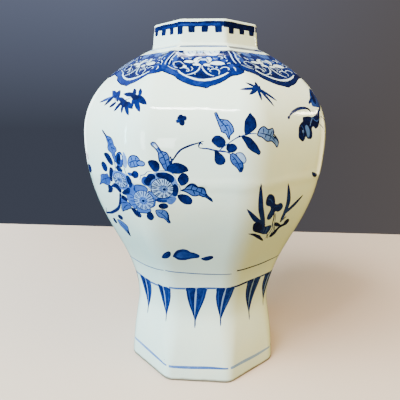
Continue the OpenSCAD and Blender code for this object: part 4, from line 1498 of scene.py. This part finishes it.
# The neck: the last section, a short straight wall that ends in a rounded lip. Square dentils hang from
# a dark band just under the lip, where the glaze is thin and left white.
NECK_ROW = 3.2
LIP_ROWS = 8
LIP_RINGS = 7
LIP_DROP = 4
NECK_BAND_CLIMB = 456
BAND_LOW = 457.7
BAND_HIGH = 463.2
DENTIL_BEND = 455
BACK_DENTILS = 16
neck_run = float(2 * half_run(NECK_BAND_CLIMB))
on_neck = on_ring(neck_run)
band_side = np.linspace(WALL_START / FACE_RUN, WALL_END / FACE_RUN, 129)
band_turn = 2 * math.pi * band_side
wave = 0.25 * np.sin(band_turn * 5 / SIDES) + 0.18 * np.sin(band_turn * 13 / SIDES)
band_top = np.stack([band_side * neck_run, BAND_HIGH + wave], -1)
band_bottom = np.stack([band_side * neck_run, BAND_LOW + wave * 0.6], -1)
lay(on_neck, np.vstack([band_top, band_bottom[::-1]]), 0.97)
lay(on_neck, [(-27, 458.4), (-27, 460.6), (-10, 461), (8, 461), (19, 461.2), (19, 458.4)], (0.78, 0.84))
lay(on_neck, [(-58, 458.6), (-58, 460.4), (-44, 460.8), (-32, 460.6), (-32, 458.6)], (0.9, 0.84))
lay(on_neck, [(23, 457.0), (23, 463.2), (44, 463.2), (78, 463.2), (78, 457.2), (50, 457.0)], 1.05)
# The middle of each dentil round the neck, its width, the height of its lower edge, and its tone
dentils = [
    (-85.0, 7.0, 452.6, 0.97), (-68.0, 6.4, 452.8, 0.99), (-53.5, 8.4, 451.8, 0.93),
    (-39.0, 7.2, 451.0, 0.95), (-25.0, 7.2, 449.8, 0.95), (-12.2, 7.6, 451.5, 0.97),
    (2.5, 7.2, 451.8, 0.98), (17.0, 8.0, 451.4, 0.92), (33.0, 8.0, 450.8, 1.0),
    (49.5, 8.0, 451.8, 1.0), (65.5, 8.4, 452.0, 0.98)
]
first_dentil, last_dentil = dentils[0][0], dentils[-1][0]
back_run = SIDES * neck_run - (last_dentil - first_dentil)
for k in range(BACK_DENTILS):
    centre = last_dentil + back_run * (k + 1) / (BACK_DENTILS + 1)
    width = 7.6 + 0.5 * math.sin(3.9 * k + 1)
    dentils.append((centre, width, 451.6 + 0.5 * math.sin(2.7 * k), 0.94 + 0.02 * (k % 3)))
for centre, width, hang, tone in dentils:
    left, right = centre - width / 2, centre + width / 2
    lean = 0.3 * math.sin(1.9 * centre)
    lay(on_neck, [
        (left, BAND_LOW + 1), (left + lean, DENTIL_BEND), (left + lean + 0.2, hang + 0.8),
        (left + lean + 0.9, hang), (right + lean - 0.8, hang + 0.1), (right + lean - 0.1, hang + 0.9),
        (right, DENTIL_BEND), (right, BAND_LOW + 1)
    ], tone + 0.03)

lip_base = RIM_HEIGHT - RIM_ROUND
lip_rows = list(np.linspace(RIM_CLIMB, RIM_TOP_CLIMB, LIP_ROWS))[1:]
neck_wall, neck_rim, lip_rim = painted_skin(rows_between(NECK_JOINT, lip_base, NECK_ROW) + lip_rows)
lip_half, lip_corner, _ = inner_section(lip_base)
for turn in np.linspace(math.pi / 2, 0, LIP_RINGS):
    lip_in = RIM_ROUND * (1 - math.cos(turn))
    lip_height = lip_base + RIM_ROUND * math.sin(turn)
    lip_rim = grow_ring(neck_wall, lip_rim, lip_half + lip_in, lip_corner + lip_in, lip_height)
inner_rim = line_wall(neck_wall, lip_rim, lip_base - LIP_DROP, NECK_JOINT + HALF_SLIP)
neck_rim = meet_slip(neck_wall, neck_rim, NECK_JOINT, 1)
join_rims(neck_wall, inner_rim, neck_rim)
fired_section(neck_wall, "neck")


# The studio: a plain pale table top and a plain dim backdrop, soft lights at the sides of the camera,
# and the camera at the photograph's angle. The table is left out of reflections and of bounced light.
TABLE_HALF_WIDTH = 2.2
TABLE_BACK = 0.54
TABLE_FRONT = -0.48
floor_mesh = bpy.data.meshes.new("table_top")
table = bmesh.new()
bmesh.ops.create_grid(table, x_segments=1, y_segments=1, size=1.0)
for vert in table.verts:
    vert.co.x *= TABLE_HALF_WIDTH
    vert.co.y = TABLE_BACK if vert.co.y > 0 else TABLE_FRONT
table.to_mesh(floor_mesh)
table.free()
table_top = bpy.data.objects.new("table_top", floor_mesh)
bpy.context.scene.collection.objects.link(table_top)
pale_table = bpy.data.materials.new("pale_table")
pale_table.use_nodes = True
pale_cloth = pale_table.node_tree.nodes["Principled BSDF"]
pale_cloth.inputs["Base Color"].default_value = srgb(203, 180, 164)
pale_cloth.inputs["Roughness"].default_value = 0.8
floor_mesh.materials.append(pale_table)
table_top.visible_glossy = False
table_top.visible_diffuse = False

world = bpy.data.worlds.new("dim_room")
bpy.context.scene.world = world
world.use_nodes = True
room = world.node_tree
direction = room.nodes.new("ShaderNodeSeparateXYZ")
room.links.new(room.nodes.new("ShaderNodeTexCoord").outputs["Generated"], direction.inputs[0])
height_share = ranged(room, direction.outputs["Z"], -0.05, 0.45, 0, 1)
air = colour_steps(room, height_share, [
    (0.0, srgb(64, 69, 82)), (0.5, srgb(98, 105, 126)), (1.0, srgb(124, 130, 150))
])
rightward = ranged(room, direction.outputs["X"], -0.3, 0.45, 0, 1)
air = mixed(room, rightward, air, srgb(92, 86, 84))
room.links.new(air, room.nodes["Background"].inputs["Color"])
room.nodes["Background"].inputs["Strength"].default_value = 1.0


def soft_light(name, place, target, width, height, power, colour, in_glaze):
    """A rectangular soft light in watts; in_glaze says whether the glaze mirrors it."""
    data = bpy.data.lights.new(name, "AREA")
    data.shape = "RECTANGLE"
    data.size = width
    data.size_y = height
    data.energy = power
    data.color = colour
    light = bpy.data.objects.new(name, data)
    light.location = place
    light.rotation_euler = (Vector(target) - Vector(place)).to_track_quat("-Z", "Y").to_euler()
    light.visible_glossy = in_glaze
    light.visible_camera = False
    bpy.context.scene.collection.objects.link(light)


# Name, place, the point it looks at, width, height, power, colour, and whether the glaze mirrors it
studio_lights = [
    ("front_panel", (-0.96, -0.98, 1.75), (0, -0.1, 0.25), 1.1, 0.8, 123, (0.94, 1.0, 0.95), False),
    ("left_panel", (-1.25, -0.50, 0.60), (0, 0, 0.22), 1.0, 1.0, 24, (0.14, 0.70, 1.0), False),
    ("right_panel", (1.25, -0.50, 0.50), (0, 0, 0.20), 0.9, 1.1, 19, (1.0, 0.66, 0.05), False),
    ("front_low", (0.10, -1.60, 0.30), (0, 0, 0.20), 1.2, 0.8, 4.6, (0.95, 1.0, 0.58), False),
    ("ceiling_tube", (-0.20, -0.98, 1.17), (0, -0.13, 0.33), 0.55, 0.05, 14.0, (1.0, 1.0, 1.0), True),
    ("cloth_fill", (0.75, -0.25, 1.50), (0.50, -0.1, 0), 0.7, 0.7, 8, (1.0, 0.80, 0.42), False),
    ("left_window", (-1.19, 0.05, 0.33), (0, -0.05, 0.30), 0.10, 0.30, 3.2, (0.42, 0.90, 1.0), True),
    ("front_window", (-0.84, -1.00, 0.28), (0, -0.05, 0.29), 0.25, 0.34, 7.0, (0.86, 0.97, 1.0), True),
    ("small_window", (-0.22, -1.32, 0.25), (0, -0.1, 0.29), 0.06, 0.20, 1.1, (0.92, 0.98, 1.0), True),
    ("high_back", (-0.10, 0.62, 1.46), (0, -0.08, 0.38), 0.18, 0.12, 1.2, (1.0, 0.98, 1.0), True),
    ("left_rim", (-0.85, 0.75, 0.42), (0, 0, 0.28), 0.5, 0.7, 6.5, (0.88, 0.96, 1.0), True),
    ("right_rim", (0.95, 0.62, 0.22), (0, 0, 0.22), 0.5, 0.5, 3.3, (1.0, 0.86, 0.56), True),
    ("right_strip", (1.09, 0.27, 0.71), (0.12, -0.08, 0.32), 0.15, 0.040, 1.35, (1.0, 0.90, 0.68), True)
]
for light_values in studio_lights:
    soft_light(*light_values)

CAMERA_TURN = 4.13
CAMERA_TILT = 77.06
CAMERA_ROLL = 0.37
camera_data = bpy.data.cameras.new("camera")
camera_data.sensor_fit = "HORIZONTAL"
camera_data.sensor_width = 36
camera_data.lens = 36.34
camera = bpy.data.objects.new("camera", camera_data)
camera.rotation_mode = "QUATERNION"
aim = Matrix.Identity(3)
for degrees, axis in ((CAMERA_TURN, "Z"), (CAMERA_TILT, "X"), (CAMERA_ROLL, "Z")):
    aim = aim @ Matrix.Rotation(math.radians(degrees), 3, axis)
camera.rotation_quaternion = aim.to_quaternion()
camera.location = (0.03184, -0.52361, 0.32718)
bpy.context.scene.collection.objects.link(camera)
bpy.context.scene.camera = camera
